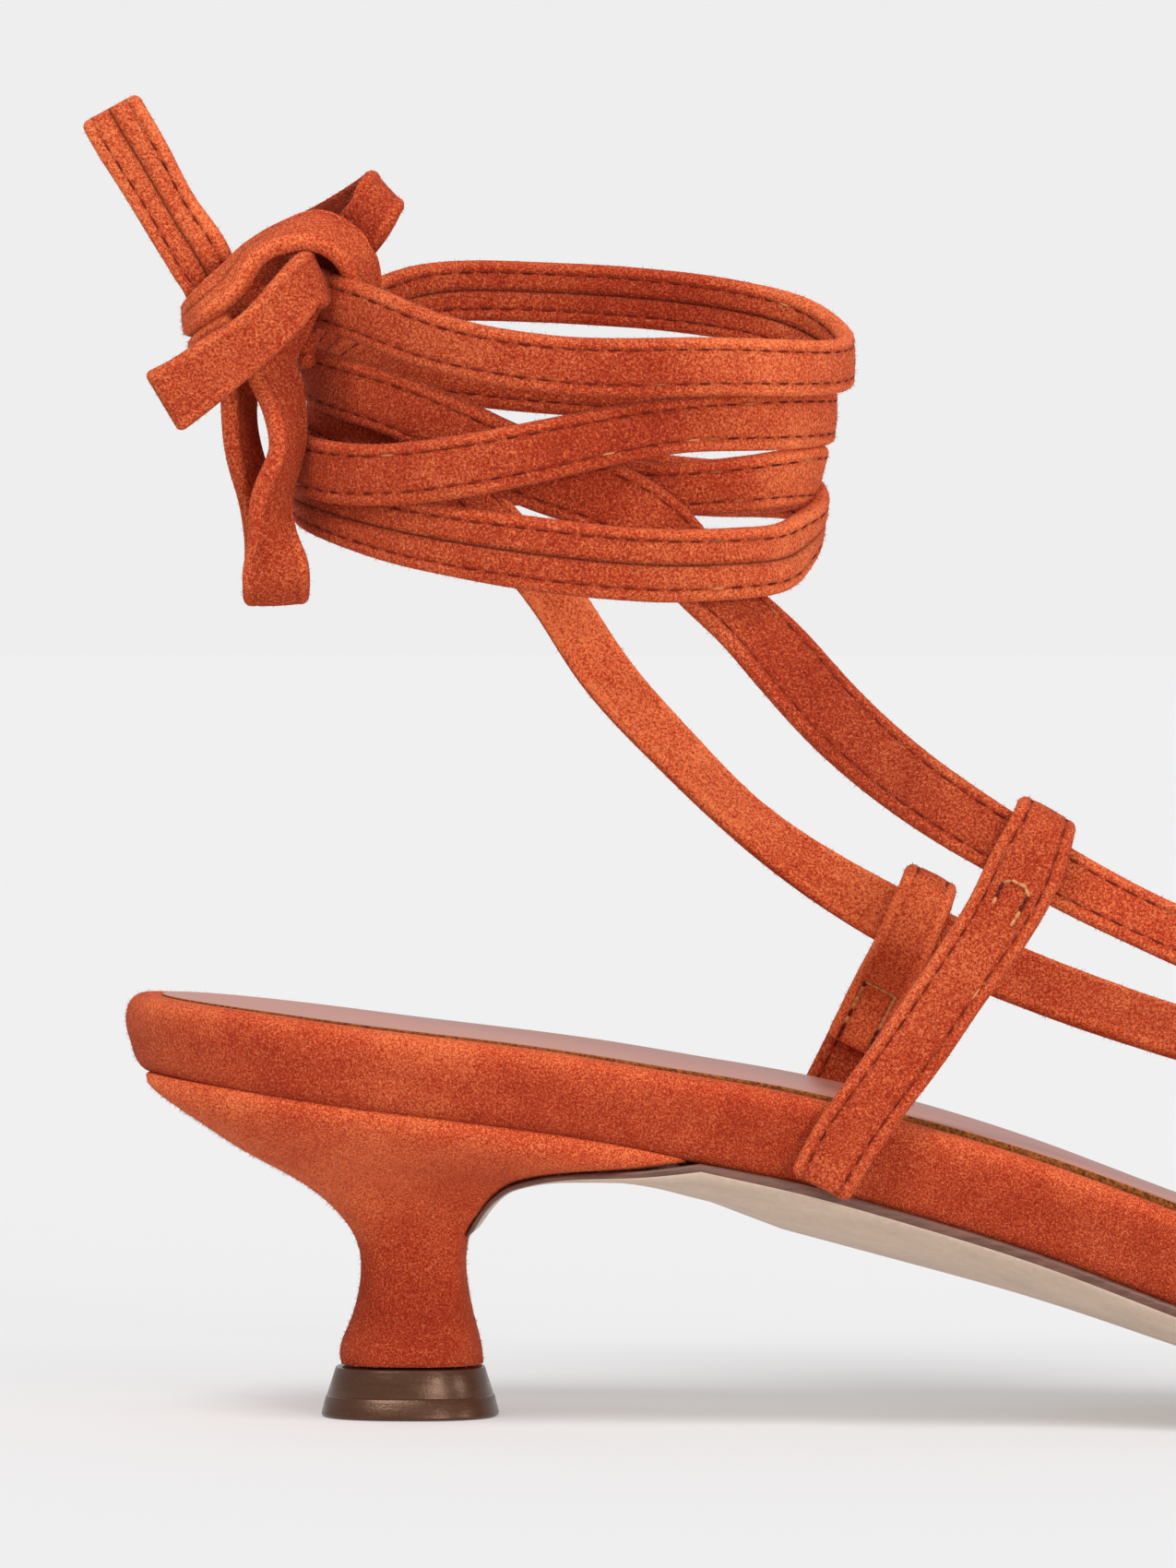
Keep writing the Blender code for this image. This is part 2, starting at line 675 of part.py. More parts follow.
def build_heel(material, collection):
    """The sculpted heel: slices from the tip up to the footbed."""
    bm = bmesh.new()
    ring = None
    rings = []
    for number, row in enumerate(HEEL_ROWS):
        back_x, back_z, front_x, front_z, width, power = row
        last = number == len(HEEL_ROWS) - 1
        points = []
        for i in range(HEEL_SEGMENTS):
            u, v = rounded(math.pi + 2 * math.pi * i / HEEL_SEGMENTS, power)
            x = (back_x + front_x) / 2 + u * (front_x - back_x) / 2
            limit = half_width(x, v) - HEEL_WALL_INSET
            y = math.copysign(min(width * abs(v), max(limit, 0.0)), v)
            z = back_z + (front_z - back_z) * (x - back_x) / (front_x - back_x)
            ceiling = underside(x, y) - GAP
            points.append((x, y, ceiling if last else min(z, ceiling - 0.4)))
        ring = first_ring(bm, points) if ring is None else next_ring(bm, ring, points)
        rings.append(ring)
    pairs = loop_pairs(HEEL_SEGMENTS)
    rungs(bm, rings[0], pairs)
    rungs(bm, rings[-1], pairs)
    return mesh_object("heel", bm, material, collection)


def build_top_piece(material, collection):
    """The rubber tip in two lifts."""
    bm = bmesh.new()
    ring = None
    rings = []
    for z, length, width in TIP_ROWS:
        points = []
        for i in range(TIP_SEGMENTS):
            u, v = rounded(2 * math.pi * i / TIP_SEGMENTS, TIP_POWER)
            points.append((TIP_CENTRE_X + u * length, v * width, z))
        ring = first_ring(bm, points) if ring is None else next_ring(bm, ring, points)
        rings.append(ring)
    bm.faces.new(rings[0])
    bm.faces.new(rings[-1])
    return mesh_object("top_piece", bm, material, collection)


def foot_outward(point):
    """Direction away from the middle line of the foot."""
    best = None
    for a, b in zip(FOOT_LINE, FOOT_LINE[1:]):
        a = Vector(a)
        b = Vector(b)
        share = min(max((point - a).dot(b - a) / (b - a).length_squared, 0.0), 1.0)
        away = point - (a + (b - a) * share)
        if best is None or away.length < best.length:
            best = away
    return best.normalized()


def wrap_points(rows):
    """Ankle wrap rows as points: x, y, z, width, roll."""
    points = []
    for turn, layer, z, width, roll in rows:
        angle = math.radians(turn)
        x = ANKLE_X - (ANKLE_HALF_LENGTH + layer) * math.cos(angle)
        y = -(ANKLE_HALF_WIDTH + layer) * math.sin(angle)
        points.append((x, y, z, width, roll))
    return points


def sampled(rows, step):
    """Rows carried along a smooth line at an even step."""
    rows = np.array(rows, float)
    gaps = np.linalg.norm(np.diff(rows[:, :3], axis=0), axis=1)
    lengths = np.concatenate(([0.0], np.cumsum(gaps)))
    curves = [spline(lengths, rows[:, i]) for i in range(rows.shape[1])]
    count = max(2, int(round(lengths[-1] / step)))
    return [[curve(lengths[-1] * i / count) for curve in curves] for i in range(count + 1)]


def strap_mesh(mesh_data, samples, thick, facing):
    """A flat strap along sampled rows; facing gives the side it shows."""
    centres = [Vector(row[:3]) for row in samples]
    ring = None
    first = None
    for i, row in enumerate(samples):
        ahead = centres[min(i + 1, len(centres) - 1)]
        behind = centres[max(i - 1, 0)]
        tangent = (ahead - behind).normalized()
        face, side = facing(centres[i], tangent, row)
        points = []
        for u, v in STRAP_SECTION:
            points.append(centres[i] + side * (u * row[3] / 2) + face * (v * thick / 2))
        if ring is None:
            ring = first_ring(mesh_data, points)
            first = ring
        else:
            ring = next_ring(mesh_data, ring, points)
    mesh_data.faces.new(first)
    mesh_data.faces.new(ring)


def turned(face, tangent, roll):
    """Face and side directions square to a tangent, rolled about it."""
    face = (face - tangent * face.dot(tangent)).normalized()
    side = tangent.cross(face)
    angle = math.radians(roll)
    return face * math.cos(angle) + side * math.sin(angle), side * math.cos(angle) - face * math.sin(angle)


def face_from_foot(point, tangent, row):
    """A strap that lies flat round the foot."""
    return turned(foot_outward(point), tangent, row[4])


def face_from_axis(axis):
    """A strap whose width stays along one direction, apart from its roll."""
    wide = Vector(axis).normalized()

    def facing(point, tangent, row):
        side = (wide - tangent * wide.dot(tangent)).normalized()
        return turned(side.cross(tangent), tangent, row[4])

    return facing


def build_strap(name, rows, step, thick, facing, material, collection):
    """One strap as a piece."""
    bm = bmesh.new()
    strap_mesh(bm, sampled(rows, step), thick, facing)
    return mesh_object(name, bm, material, collection)


def build_keeper(name, rows, axis, material, collection):
    """A strap loop folded over the tie."""
    rows = [row + (KEEPER_WIDTH, 0.0) for row in rows]
    return build_strap(name, rows, KEEPER_STEP, KEEPER_THICK, face_from_axis(axis), material, collection)


def build_tacks(material, collection):
    """Short round bars through the turns where they cross."""
    bm = bmesh.new()
    for turn, z, inner, outer in TACK_ROWS:
        ends = [Vector(wrap_points(((turn, layer, z, 0.0, 0.0),))[0][:3]) for layer in (inner, outer)]
        run = ends[1] - ends[0]
        made = bmesh.ops.create_cone(
            bm, cap_ends=True, segments=TACK_SEGMENTS, radius1=TACK_RADIUS, radius2=TACK_RADIUS, depth=run.length
        )
        aim = run.to_track_quat("Z", "Y")
        for vert in made["verts"]:
            vert.co = place((ends[0] + ends[1]) / 2 + aim @ vert.co)
    return mesh_object("crossing_tacks", bm, material, collection)


def build_tie(material, collection, cutters):
    """Both straps from the toe post through the keepers and round the ankle, joined."""
    medial = list(MEDIAL_STRAP_ROWS) + wrap_points(MEDIAL_WRAP_ROWS)
    lateral = list(LATERAL_STRAP_ROWS) + wrap_points(LATERAL_WRAP_ROWS)
    tie = build_strap("ankle_tie", medial, STRAP_STEP, STRAP_THICK, face_from_foot, material, collection)
    other = build_strap("lateral_strap", lateral, STRAP_STEP, STRAP_THICK, face_from_foot, material, cutters)
    for number, helper in enumerate((other, build_tacks(material, cutters))):
        helper.hide_render = True
        helper.display_type = "WIRE"
        join = tie.modifiers.new("join_%d" % number, "BOOLEAN")
        join.operation = "UNION"
        join.solver = "EXACT"
        join.object = helper
    return tie


def build_knot(material, collection):
    """The knot as one rounded lump."""
    bm = bmesh.new()
    bmesh.ops.create_uvsphere(bm, u_segments=KNOT_SEGMENTS, v_segments=KNOT_RINGS, radius=1.0)
    for vert in bm.verts:
        x = vert.co.x * KNOT_HALF[0]
        y = vert.co.y * KNOT_HALF[1]
        z = vert.co.z * KNOT_HALF[2]
        px = x * math.cos(KNOT_TURN) + z * math.sin(KNOT_TURN)
        pz = z * math.cos(KNOT_TURN) - x * math.sin(KNOT_TURN)
        vert.co = place((KNOT_CENTRE[0] + px, KNOT_CENTRE[1] + y, KNOT_CENTRE[2] + pz))
    return mesh_object("bow_knot", bm, material, collection)


def make_material(name, colour, roughness):
    """A plain surface."""
    material = bpy.data.materials.new(name)
    material.use_nodes = True
    shader = material.node_tree.nodes["Principled BSDF"]
    shader.inputs["Base Color"].default_value = colour
    shader.inputs["Roughness"].default_value = roughness
    return material


def make_collection(name):
    """A collection linked to the scene."""
    collection = bpy.data.collections.new(name)
    bpy.context.scene.collection.children.link(collection)
    return collection


def build():
    """Make every piece of the sandal."""
    for old in list(bpy.data.objects):
        bpy.data.objects.remove(old, do_unlink=True)
    collection = make_collection(COLLECTION)
    cutters = make_collection(COLLECTION + "_helpers")
    suede = make_material("suede", SUEDE_ORANGE, 0.95)
    tie_suede = make_material("tie_suede", SUEDE_ORANGE, 0.95)
    sock = make_material("sock_leather", SOCK_ROSE, 0.5)
    sole = make_material("sole_leather", SOLE_BEIGE, 0.6)
    rubber = make_material("tip_rubber", TIP_BROWN, 0.45)

    pieces = [
        build_footbed(suede, collection),
        build_insole(sock, collection),
        build_outsole(sole, collection),
        build_heel(suede, collection),
        build_top_piece(rubber, collection),
        build_keeper("keeper_medial", KEEPER_MEDIAL_ROWS, KEEPER_MEDIAL_AXIS, suede, collection),
        build_keeper("keeper_lateral", KEEPER_LATERAL_ROWS, KEEPER_LATERAL_AXIS, suede, collection),
        build_tie(tie_suede, collection, cutters),
        build_knot(tie_suede, collection),
    ]
    for name, rows, axis in (
        ("bow_end_upper", BOW_END_UPPER_ROWS, BOW_END_UPPER_AXIS),
        ("bow_end_lower", BOW_END_LOWER_ROWS, BOW_END_LOWER_AXIS),
        ("bow_loop_upper", BOW_LOOP_UPPER_ROWS, BOW_LOOP_UPPER_AXIS),
        ("bow_loop_lower", BOW_LOOP_LOWER_ROWS, BOW_LOOP_LOWER_AXIS),
    ):
        facing = face_from_axis(axis)
        pieces.append(build_strap(name, rows, BOW_STEP, BOW_THICK, facing, tie_suede, collection))
    for piece in pieces:
        for polygon in piece.data.polygons:
            polygon.use_smooth = True


build()
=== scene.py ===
"""Looks of the kitten heel sandal: suede, stitching, leather, the tied bow and a plain studio.

Lengths in the tables are millimetres, as in the part: x runs from the back of the heel to
the toe, y is negative on the medial side, z is the height over the floor.
"""

import math
import random
from collections import namedtuple

import bmesh
import bpy
import numpy as np
from bpy.props import FloatProperty, FloatVectorProperty, PointerProperty
from mathutils import Matrix, Vector, noise


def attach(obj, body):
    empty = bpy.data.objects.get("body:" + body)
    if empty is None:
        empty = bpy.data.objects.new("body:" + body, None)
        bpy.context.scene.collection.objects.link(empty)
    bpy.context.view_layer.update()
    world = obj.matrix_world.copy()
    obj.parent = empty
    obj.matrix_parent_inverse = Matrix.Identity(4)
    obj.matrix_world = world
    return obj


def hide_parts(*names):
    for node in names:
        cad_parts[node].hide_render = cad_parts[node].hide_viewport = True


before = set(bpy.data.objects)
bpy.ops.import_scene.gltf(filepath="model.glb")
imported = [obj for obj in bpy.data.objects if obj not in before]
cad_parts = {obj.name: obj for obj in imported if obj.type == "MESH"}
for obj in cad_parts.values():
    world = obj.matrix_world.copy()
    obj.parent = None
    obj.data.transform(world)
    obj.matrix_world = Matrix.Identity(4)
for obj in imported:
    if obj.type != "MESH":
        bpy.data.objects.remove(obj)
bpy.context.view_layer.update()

bl_info = {
    "name": "Kitten heel sandal",
    "version": (1, 0, 0),
    "blender": (4, 5, 0),
    "location": "3D View > Sidebar > Sandal",
    "description": "Dresses the sandal's solids in suede, leather, stitching and a tied bow",
    "category": "Object",
}

MM = 0.001
BODY = "root"

# Sole plan and profile
LENGTH = 245.0
ORIGIN_X = LENGTH / 2
GAP = 0.05
HEEL_CENTRE = 28.0
TOE_CENTRE = 172.0
HEEL_POWER = 2.1
TOE_POWER = 1.9
TOE_SHIFT = -5.0
SIDE_STATIONS = 150
LEAST_WIDTH = 0.01
SOLE_REACH = 4.0
WIDTH_COLUMNS = ("x", "medial", "lateral")
WIDTH_ROWS = (
    (28.0, 25.0, 25.0),
    (50.0, 23.8, 25.0),
    (70.0, 21.6, 25.0),
    (90.0, 20.8, 25.8),
    (110.0, 23.0, 28.4),
    (130.0, 28.5, 32.2),
    (150.0, 34.4, 35.8),
    (172.0, 38.0, 38.0),
)
PROFILE_COLUMNS = ("x", "edge", "height", "top_drop", "under_drop", "belly")
PROFILE_ROWS = (
    (0.0, 39.8, 8.6, 0.0, 0.0, 0.0),
    (15.0, 37.8, 9.0, 0.35, 0.0, 0.0),
    (32.0, 35.5, 9.1, 0.4, 0.0, 0.0),
    (48.0, 33.45, 9.1, 0.3, 0.0, 0.0),
    (57.0, 32.0, 9.1, 0.2, 0.2, 0.3),
    (63.0, 30.95, 9.1, 0.2, 1.0, 1.7),
    (70.0, 29.66, 9.2, 0.2, 2.0, 2.9),
    (76.0, 28.4, 9.3, 0.2, 2.3, 3.2),
    (89.0, 24.85, 9.7, 0.4, 2.4, 3.1),
    (105.0, 19.9, 10.0, 1.2, 2.3, 2.8),
    (119.0, 14.75, 10.2, 1.8, 2.0, 2.5),
    (140.0, 7.85, 10.0, 1.4, 1.6, 1.8),
    (160.0, 3.5, 9.4, 0.6, 0.4, 0.4),
    (178.0, 2.25, 8.8, 0.0, 0.0, 0.0),
    (205.0, 2.2, 8.4, 0.0, 0.0, 0.0),
    (225.0, 3.9, 8.2, 0.0, 0.0, 0.0),
    (245.0, 7.4, 8.0, 0.0, 0.0, 0.0),
)

# Footbed wall, from the bottom edge round to the top face: inset, share of the height.
# The usual height makes the steps along it even.
WALL_STEPS = 26
WALL_HEIGHT = 9.2
WALL_ROWS = (
    (2.6, -0.01),
    (1.5, 0.015),
    (0.95, 0.1),
    (0.6, 0.28),
    (0.15, 0.54),
    (0.0, 0.76),
    (0.3, 0.9),
    (0.95, 0.975),
    (2.0, 1.0),
    (3.2, 1.0),
)

# Painted light and shade by share of the wall's height (darker low down, lighter on the rolled top edge),
# the wall's rows that carry loose fibres, the wall's backward lean at the heel, and its unevenness as depth
# and length
FOOTBED_PAINTED_LIGHT_AT = (0.0, 0.2, 0.5, 0.78, 0.92, 1.0)
FOOTBED_PAINTED_LIGHT = (-0.6, -0.35, -0.25, 0.1, 0.9, 0.9)
FOOTBED_NAP_ROWS = slice(4, 24)
BACK_LEAN = 0.6
BACK_LEAN_LENGTH = 12.0
UNEVEN_SIDE = (0.06, 11.0)
UNEVEN_TOP = (0.05, 14.0)

# Sock edge: inset from the footbed outline, height over the footbed, 1 where it is raw
SOCK_INSET = 3.7
SOCK_ROWS = (
    (SOCK_INSET + 0.1, -0.3, 1),
    (SOCK_INSET - 0.05, 0.0, 1),
    (SOCK_INSET - 0.1, 0.3, 1),
    (SOCK_INSET - 0.05, 0.6, 1),
    (SOCK_INSET, 0.85, 1),
    (SOCK_INSET + 0.15, 0.97, 0),
    (SOCK_INSET + 0.5, 1.0, 0),
    (SOCK_INSET + 2.5, 1.0, 0),
)
SOCK_THICK_COLUMNS = ("x", "thick")
SOCK_THICK_ROWS = ((0.0, 0.22), (40.0, 0.36), (70.0, 0.5), (90.0, 0.75), (115.0, 1.0), (245.0, 1.0))
FRAY = 0.07
FRAY_LENGTH = 1.6
FRAY_LAYERS = 9

# Outsole: its tongue on the heel breast as x, z and half width, then it follows the footbed
OUTSOLE_INSET = 0.8
OUTSOLE_JOIN = 74.0
TONGUE_STEPS = 30
TONGUE_ROWS = (
    (38.55, 20.8, 5.6),
    (40.25, 23.5, 7.6),
    (41.7, 25.15, 10.0),
    (43.3, 26.45, 11.8),
    (45.4, 27.35, 14.2),
    (48.0, 28.05, 16.6),
    (54.0, 28.72, 19.8),
    (60.0, 29.3, 21.4),
    (66.0, 30.2, 21.2),
)
TONGUE_THICK_AT = (40.0, 50.0, 60.0, 73.0)
TONGUE_THICK_SHARE = (0.33, 0.5, 0.75, 1.15)
SAG_FROM = 50.0
SAG_OVER = 10.0
SLOPE_REACH = 0.2
SOLE_CUTS = 9
# Outsole edge: inset and depth on the sole, the same on the tongue, 1 where it is dark;
# the tongue's edge passes into the sole's between two places along it
TONGUE_EDGE_AT = (45.0, 52.0)
OUTSOLE_EDGE_ROWS = (
    (0.5, 0.0, 0.5, 0.0, 1),
    (0.15, 0.15, 0.15, 0.15, 1),
    (0.0, 0.4, 0.0, 0.4, 1),
    (0.0, 0.75, 0.0, 0.9, 1),
    (0.02, 1.1, 0.95, 1.68, 1),
    (0.25, 1.38, 1.15, 1.74, 0),
    (0.7, 1.6, 1.4, 1.82, 0),
    (1.4, 1.82, 1.8, 1.92, 0),
    (2.4, 2.0, 2.4, 2.0, 0),
)

# Heel: each row is a slice, as x and z on its back, x and z on its breast, half width and
# how squared it is; its breast is squared more, by height
HEEL_SEGMENTS = 112
RING_SAMPLES = 721
HEEL_STEPS = 64
HEEL_WALL_INSET = 1.15
BREAST_HEIGHTS = (6.0, 12.0, 22.0)
BREAST_POWERS = (2.5, 3.2, 8.0)
# How quickly the wall turns in under the footbed, and the crease that it leaves there
EASE = 8.0
CREASE = 0.6
CREASE_AT = (2.0, 14.0, 46.0, 66.0)
CREASE_SHARE = (0.35, 1.0, 1.0, 0.2)
# Inset, and height over the crease in crease depths
HEEL_TOP_ROWS = ((0.0, -1.0), (0.12, -0.45), (0.4, 0.0), (1.2, 0.25))
# Painted light and shade on the heel by height: painted shade low down, painted light on the flare under the
# footbed
HEEL_PAINTED_LIGHT_HEIGHTS = (6.0, 12.0, 18.0, 24.0, 30.0, 40.0)
HEEL_PAINTED_LIGHT = (-0.6, -0.3, 0.4, 1.1, 1.3, 1.0)
HEEL_ROWS = (
    (24.1, 6.0, 40.2, 6.0, 7.9, 2.5),
    (23.9, 7.0, 40.1, 7.2, 7.9, 2.5),
    (24.9, 10.4, 39.2, 11.0, 7.1, 2.5),
    (26.0, 14.0, 38.4, 14.5, 6.4, 2.5),
    (26.3, 17.6, 38.1, 17.6, 6.2, 2.5),
    (25.7, 20.3, 38.5, 20.6, 6.8, 2.6),
    (23.4, 23.6, 40.4, 23.5, 8.8, 2.7),
    (19.2, 27.0, 43.4, 26.4, 12.4, 2.8),
    (13.4, 30.3, 48.0, 28.0, 17.0, 2.9),
    (8.0, 34.0, 55.0, 28.75, 22.4, 3.0),
    (4.3, 36.7, 59.5, 29.15, 27.0, 3.2),
    (2.4, 38.6, 64.5, 30.0, 33.0, 3.4),
)

# Heel tip in two lifts: z, half length, half width
TIP_CENTRE_X = 31.9
TIP_SEGMENTS = 112
TIP_POWER = 2.4
TIP_ROWS = (
    (0.0, 9.8, 9.3),
    (0.12, 10.0, 9.5),
    (0.35, 10.08, 9.6),
    (2.3, 9.6, 9.1),
    (2.42, 9.52, 9.0),
    (2.48, 9.4, 8.88),
    (2.56, 9.38, 8.86),
    (2.64, 9.4, 8.88),
    (5.35, 8.55, 8.05),
    (5.6, 8.45, 7.95),
    (5.7, 8.2, 7.7),
)

# Middle line of the foot that the straps lie round
FOOT_LINE = (
    (51.0, 0.0, 165.0),
    (51.0, 0.0, 84.0),
    (76.0, 0.0, 74.0),
    (104.0, 0.0, 59.0),
    (150.0, -1.0, 35.0),
    (207.0, -6.8, 8.0),
)
FAR_OFF = 1e6
ANKLE_X = 50.9
ANKLE_HALF_LENGTH = 26.2
ANKLE_HALF_WIDTH = 17.5
WRAP_FLOOR = 92.0
# Straps of the tie from the toe post: x, y, z, width and any roll; round the ankle the first
# two are the turn in degrees and how far the strap lies off the ankle
MEDIAL_STRAP_ROWS = (
    (207.6, -7.7, 12.4, 6.4),
    (206.6, -7.7, 16.5, 6.4),
    (201.5, -7.8, 22.0, 6.6),
    (188.0, -8.6, 28.4, 6.8),
    (160.0, -10.8, 39.6, 7.0),
    (135.0, -12.6, 48.8, 7.0),
    (119.2, -13.4, 55.3, 6.6),
    (110.5, -14.2, 59.5, 6.7),
    (101.9, -15.2, 64.3, 7.3),
    (90.3, -16.6, 71.7, 8.0),
    (79.7, -15.8, 80.9, 8.7),
    (72.3, -14.4, 89.0, 9.0),
)
MEDIAL_WRAP_ROWS = (
    (124.0, 0.8, 95.2, 8.5),
    (112.0, 2.2, 100.2, 8.5),
    (102.0, 2.8, 103.5, 8.4),
    (80.0, 2.7, 107.9, 8.4),
    (63.0, 2.7, 112.0, 7.8),
    (48.0, 2.7, 114.8, 7.4),
    (26.0, 3.0, 117.0, 7.2),
    (0.0, 4.2, 119.8, 7.0),
    (-25.0, 3.0, 124.6, 7.0),
    (-50.0, 3.2, 128.2, 7.0),
    (-75.0, 3.6, 128.7, 7.0),
    (-100.0, 3.8, 128.0, 7.0),
    (-125.0, 4.0, 126.4, 7.0),
    (-150.0, 4.2, 123.7, 7.0),
    (-168.0, 4.4, 121.2, 6.6),
    (-180.0, 4.4, 120.2, 6.3),
    (-200.0, 5.0, 119.2, 6.2),
    (-240.0, 7.0, 118.9, 6.6),
    (-265.0, 7.0, 118.8, 6.6),
    (-285.0, 6.6, 120.2, 6.4),
    (-300.0, 5.6, 122.2, 6.6),
    (-315.0, 5.0, 124.7, 6.8),
    (-324.0, 4.8, 125.8, 6.8),
    (-334.0, 4.6, 126.6, 6.6),
    (-346.0, 4.6, 127.2, 6.4),
)
LATERAL_STRAP_ROWS = (
    (207.9, -6.2, 12.4, 6.4),
    (206.9, -6.2, 16.5, 6.4),
    (202.5, -5.6, 20.8, 6.6),
    (188.0, -2.0, 26.0, 6.6, 4.0),
    (160.0, 5.2, 33.4, 6.6, 8.0),
    (135.0, 11.4, 39.4, 6.6, 10.0),
    (119.2, 14.4, 43.3, 7.0, 10.0),
    (109.6, 15.8, 46.4, 7.0, 4.0),
    (100.0, 17.0, 50.0, 6.9, -8.0),
    (88.5, 18.2, 55.3, 6.9, -14.0),
    (79.6, 19.0, 60.3, 6.9, 2.0),
    (69.2, 19.4, 67.8, 6.7, 24.0),
    (60.5, 19.4, 76.3, 6.6, 28.0),
    (52.6, 18.8, 85.3, 6.6, 26.0),
    (47.2, 17.8, 93.6, 6.6, 16.0),
)
LATERAL_WRAP_ROWS = (
    (290.0, -0.4, 100.0, 6.4),
    (304.0, -0.4, 106.0, 6.4),
    (320.0, 0.6, 110.6, 6.2),
    (340.0, 3.0, 113.4, 6.2),
    (360.0, 3.5, 114.4, 6.2),
    (385.0, 0.6, 111.8, 6.2),
    (410.0, -0.4, 109.4, 6.2),
    (438.0, -0.4, 107.4, 6.2),
    (465.0, -0.4, 105.3, 6.2),
    (488.0, -0.2, 105.6, 6.2),
    (510.0, 0.3, 106.5, 6.6, 8.0),
    (540.0, 0.7, 107.2, 7.2, 17.0),
    (570.0, 0.3, 106.2, 6.4, 8.0),
    (600.0, 0.6, 105.7, 5.7),
    (630.0, 2.2, 106.6, 6.0),
    (660.0, 2.7, 107.0, 6.4),
    (690.0, 3.4, 106.2, 6.4),
    (720.0, 5.2, 105.0, 6.2),
    (748.0, 4.6, 103.0, 7.0),
    (773.0, 5.0, 100.7, 7.7),
    (803.0, 5.6, 98.1, 8.2),
    (832.0, 5.2, 96.7, 8.2),
    (850.0, 3.8, 97.0, 8.0),
    (868.0, 2.2, 97.9, 7.8),
    (880.0, 1.3, 99.4, 7.4, 4.0),
    (892.0, 1.2, 101.0, 6.8, 9.0),
    (904.0, 1.2, 102.4, 6.6, 9.0),
    (916.0, 1.5, 103.8, 6.6, 4.0),
    (932.0, 2.5, 105.3, 6.6),
    (960.0, 4.6, 105.9, 6.6),
    (990.0, 5.8, 107.8, 6.6),
    (1020.0, 5.9, 109.6, 6.6),
    (1050.0, 5.9, 110.5, 6.6),
    (1080.0, 6.2, 109.8, 6.8),
    (1109.0, 6.6, 107.7, 7.0),
    (1129.0, 6.8, 106.9, 7.0),
    (1144.0, 6.6, 107.4, 7.0),
    (1168.0, 5.9, 109.8, 6.8),
    (1192.0, 5.0, 112.3, 6.4),
    (1209.0, 3.7, 112.9, 6.6),
    (1233.0, 2.4, 113.3, 6.7),
    (1260.0, 2.3, 113.8, 6.4, 3.0),
    (1290.0, 3.0, 114.7, 6.6),
    (1320.0, 4.4, 116.4, 7.0),
    (1350.0, 5.4, 117.8, 7.2),
    (1380.0, 5.7, 119.2, 7.0),
    (1410.0, 5.8, 121.0, 6.6),
    (1426.0, 6.0, 122.0, 6.6),
    (1442.0, 6.0, 122.4, 6.6),
    (1460.0, 5.4, 122.4, 6.6),
)

# Length from the toe post over which each strap's inner face is plain, how plain, and its blend
TIE_PLAIN = {"medial": 0.0, "lateral": 205.0}
PLAIN_SHARE = 0.85
PLAIN_BLEND = 6.0
# Painted light and shade on the straps: painted shade on the inner face behind the ankle, painted light on
# the plain inner face, painted light and shade on the outer face by length from the toe post, and painted
# light on both at the turns' front bends by x and height
INNER_PAINTED_SHADE = 0.4
INNER_PAINTED_SHADE_OVER = 8.0
INNER_PAINTED_LIGHT_AT = (116.0, 140.0, 162.0, 180.0)
INNER_PAINTED_LIGHT = (0.3, 2.1, 1.5, 2.7)
OUTER_PAINTED_LIGHT_AT = (112.0, 124.0, 136.0, 150.0, 165.0, 180.0)
OUTER_PAINTED_LIGHT = {"medial": (0.9, -0.2, -1.2, -0.9, -0.1, 0.0), "lateral": (0.0,) * 6}
BEND_FROM = (62.0, WRAP_FLOOR)
BEND_OVER = (12.0, 5.0)
BEND_PAINTED_LIGHT = (1.6, 1.3)
# The butt seam shows on the lowest turn: y and z under these, length over this, evened over steps
LOW_TURN = (6.0, 105.0)
LOW_TURN_FROM = 300.0
LOW_TURN_EVENED = 9

# Keepers: up the outside, over the strap and down the inside to an end that is plain and
# painted lighter on the lateral one; rows are x, y, z and width
KEEPER_THICK = 1.9
KEEPER_STEP = 0.5
KEEPER_SEEDS = {"medial": 3.0, "lateral": 8.0}
FOLD_BLEND = 3.0
FOLD_PLAIN = 0.7
FOLD_PAINTED_LIGHT = 2.1
KEEPER_MEDIAL_AXIS = (0.87, 0.0, -0.493)
KEEPER_MEDIAL_ROWS = (
    (79.4, -23.4, 27.4, 7.2),
    (81.6, -23.6, 31.5, 7.5),
    (84.6, -23.4, 36.0, 7.6),
    (90.0, -21.9, 43.4, 7.7),
    (95.1, -20.3, 50.9, 7.8),
    (99.9, -18.9, 58.2, 8.3),
    (102.9, -18.3, 64.4, 8.2),
    (104.1, -17.4, 67.3, 7.4),
    (104.5, -14.8, 68.6, 7.2),
    (104.1, -12.4, 67.4, 7.2),
    (102.9, -11.2, 64.4, 7.2),
    (101.2, -11.6, 60.6, 7.2),
    (99.2, -14.2, 57.4, 7.2),
    (97.8, -16.7, 55.2, 7.2),
    (95.6, -17.9, 52.0, 7.2),
    (93.2, -18.7, 48.4, 7.2),
)
KEEPER_LATERAL_AXIS = (-0.89, 0.0, 0.456)
KEEPER_LATERAL_ROWS = (
    (73.9, 26.8, 25.4, 6.7),
    (75.7, 27.0, 29.5, 6.7),
    (77.9, 26.8, 34.0, 6.7),
    (81.5, 24.8, 41.0, 6.7),
    (85.1, 22.9, 48.0, 6.8),
    (88.0, 22.2, 53.6, 6.8),
    (89.6, 21.6, 57.4, 6.7),
    (90.4, 20.3, 59.6, 6.6),
    (90.7, 17.8, 60.5, 6.5),
    (90.3, 15.5, 59.3, 6.5),
    (89.2, 14.6, 56.6, 6.6),
    (87.6, 14.9, 53.0, 6.6),
    (86.1, 17.6, 50.2, 6.6),
    (84.7, 20.8, 47.6, 6.6),
    (82.7, 22.1, 43.6, 6.6),
    (81.5, 22.75, 41.2, 6.6),
)

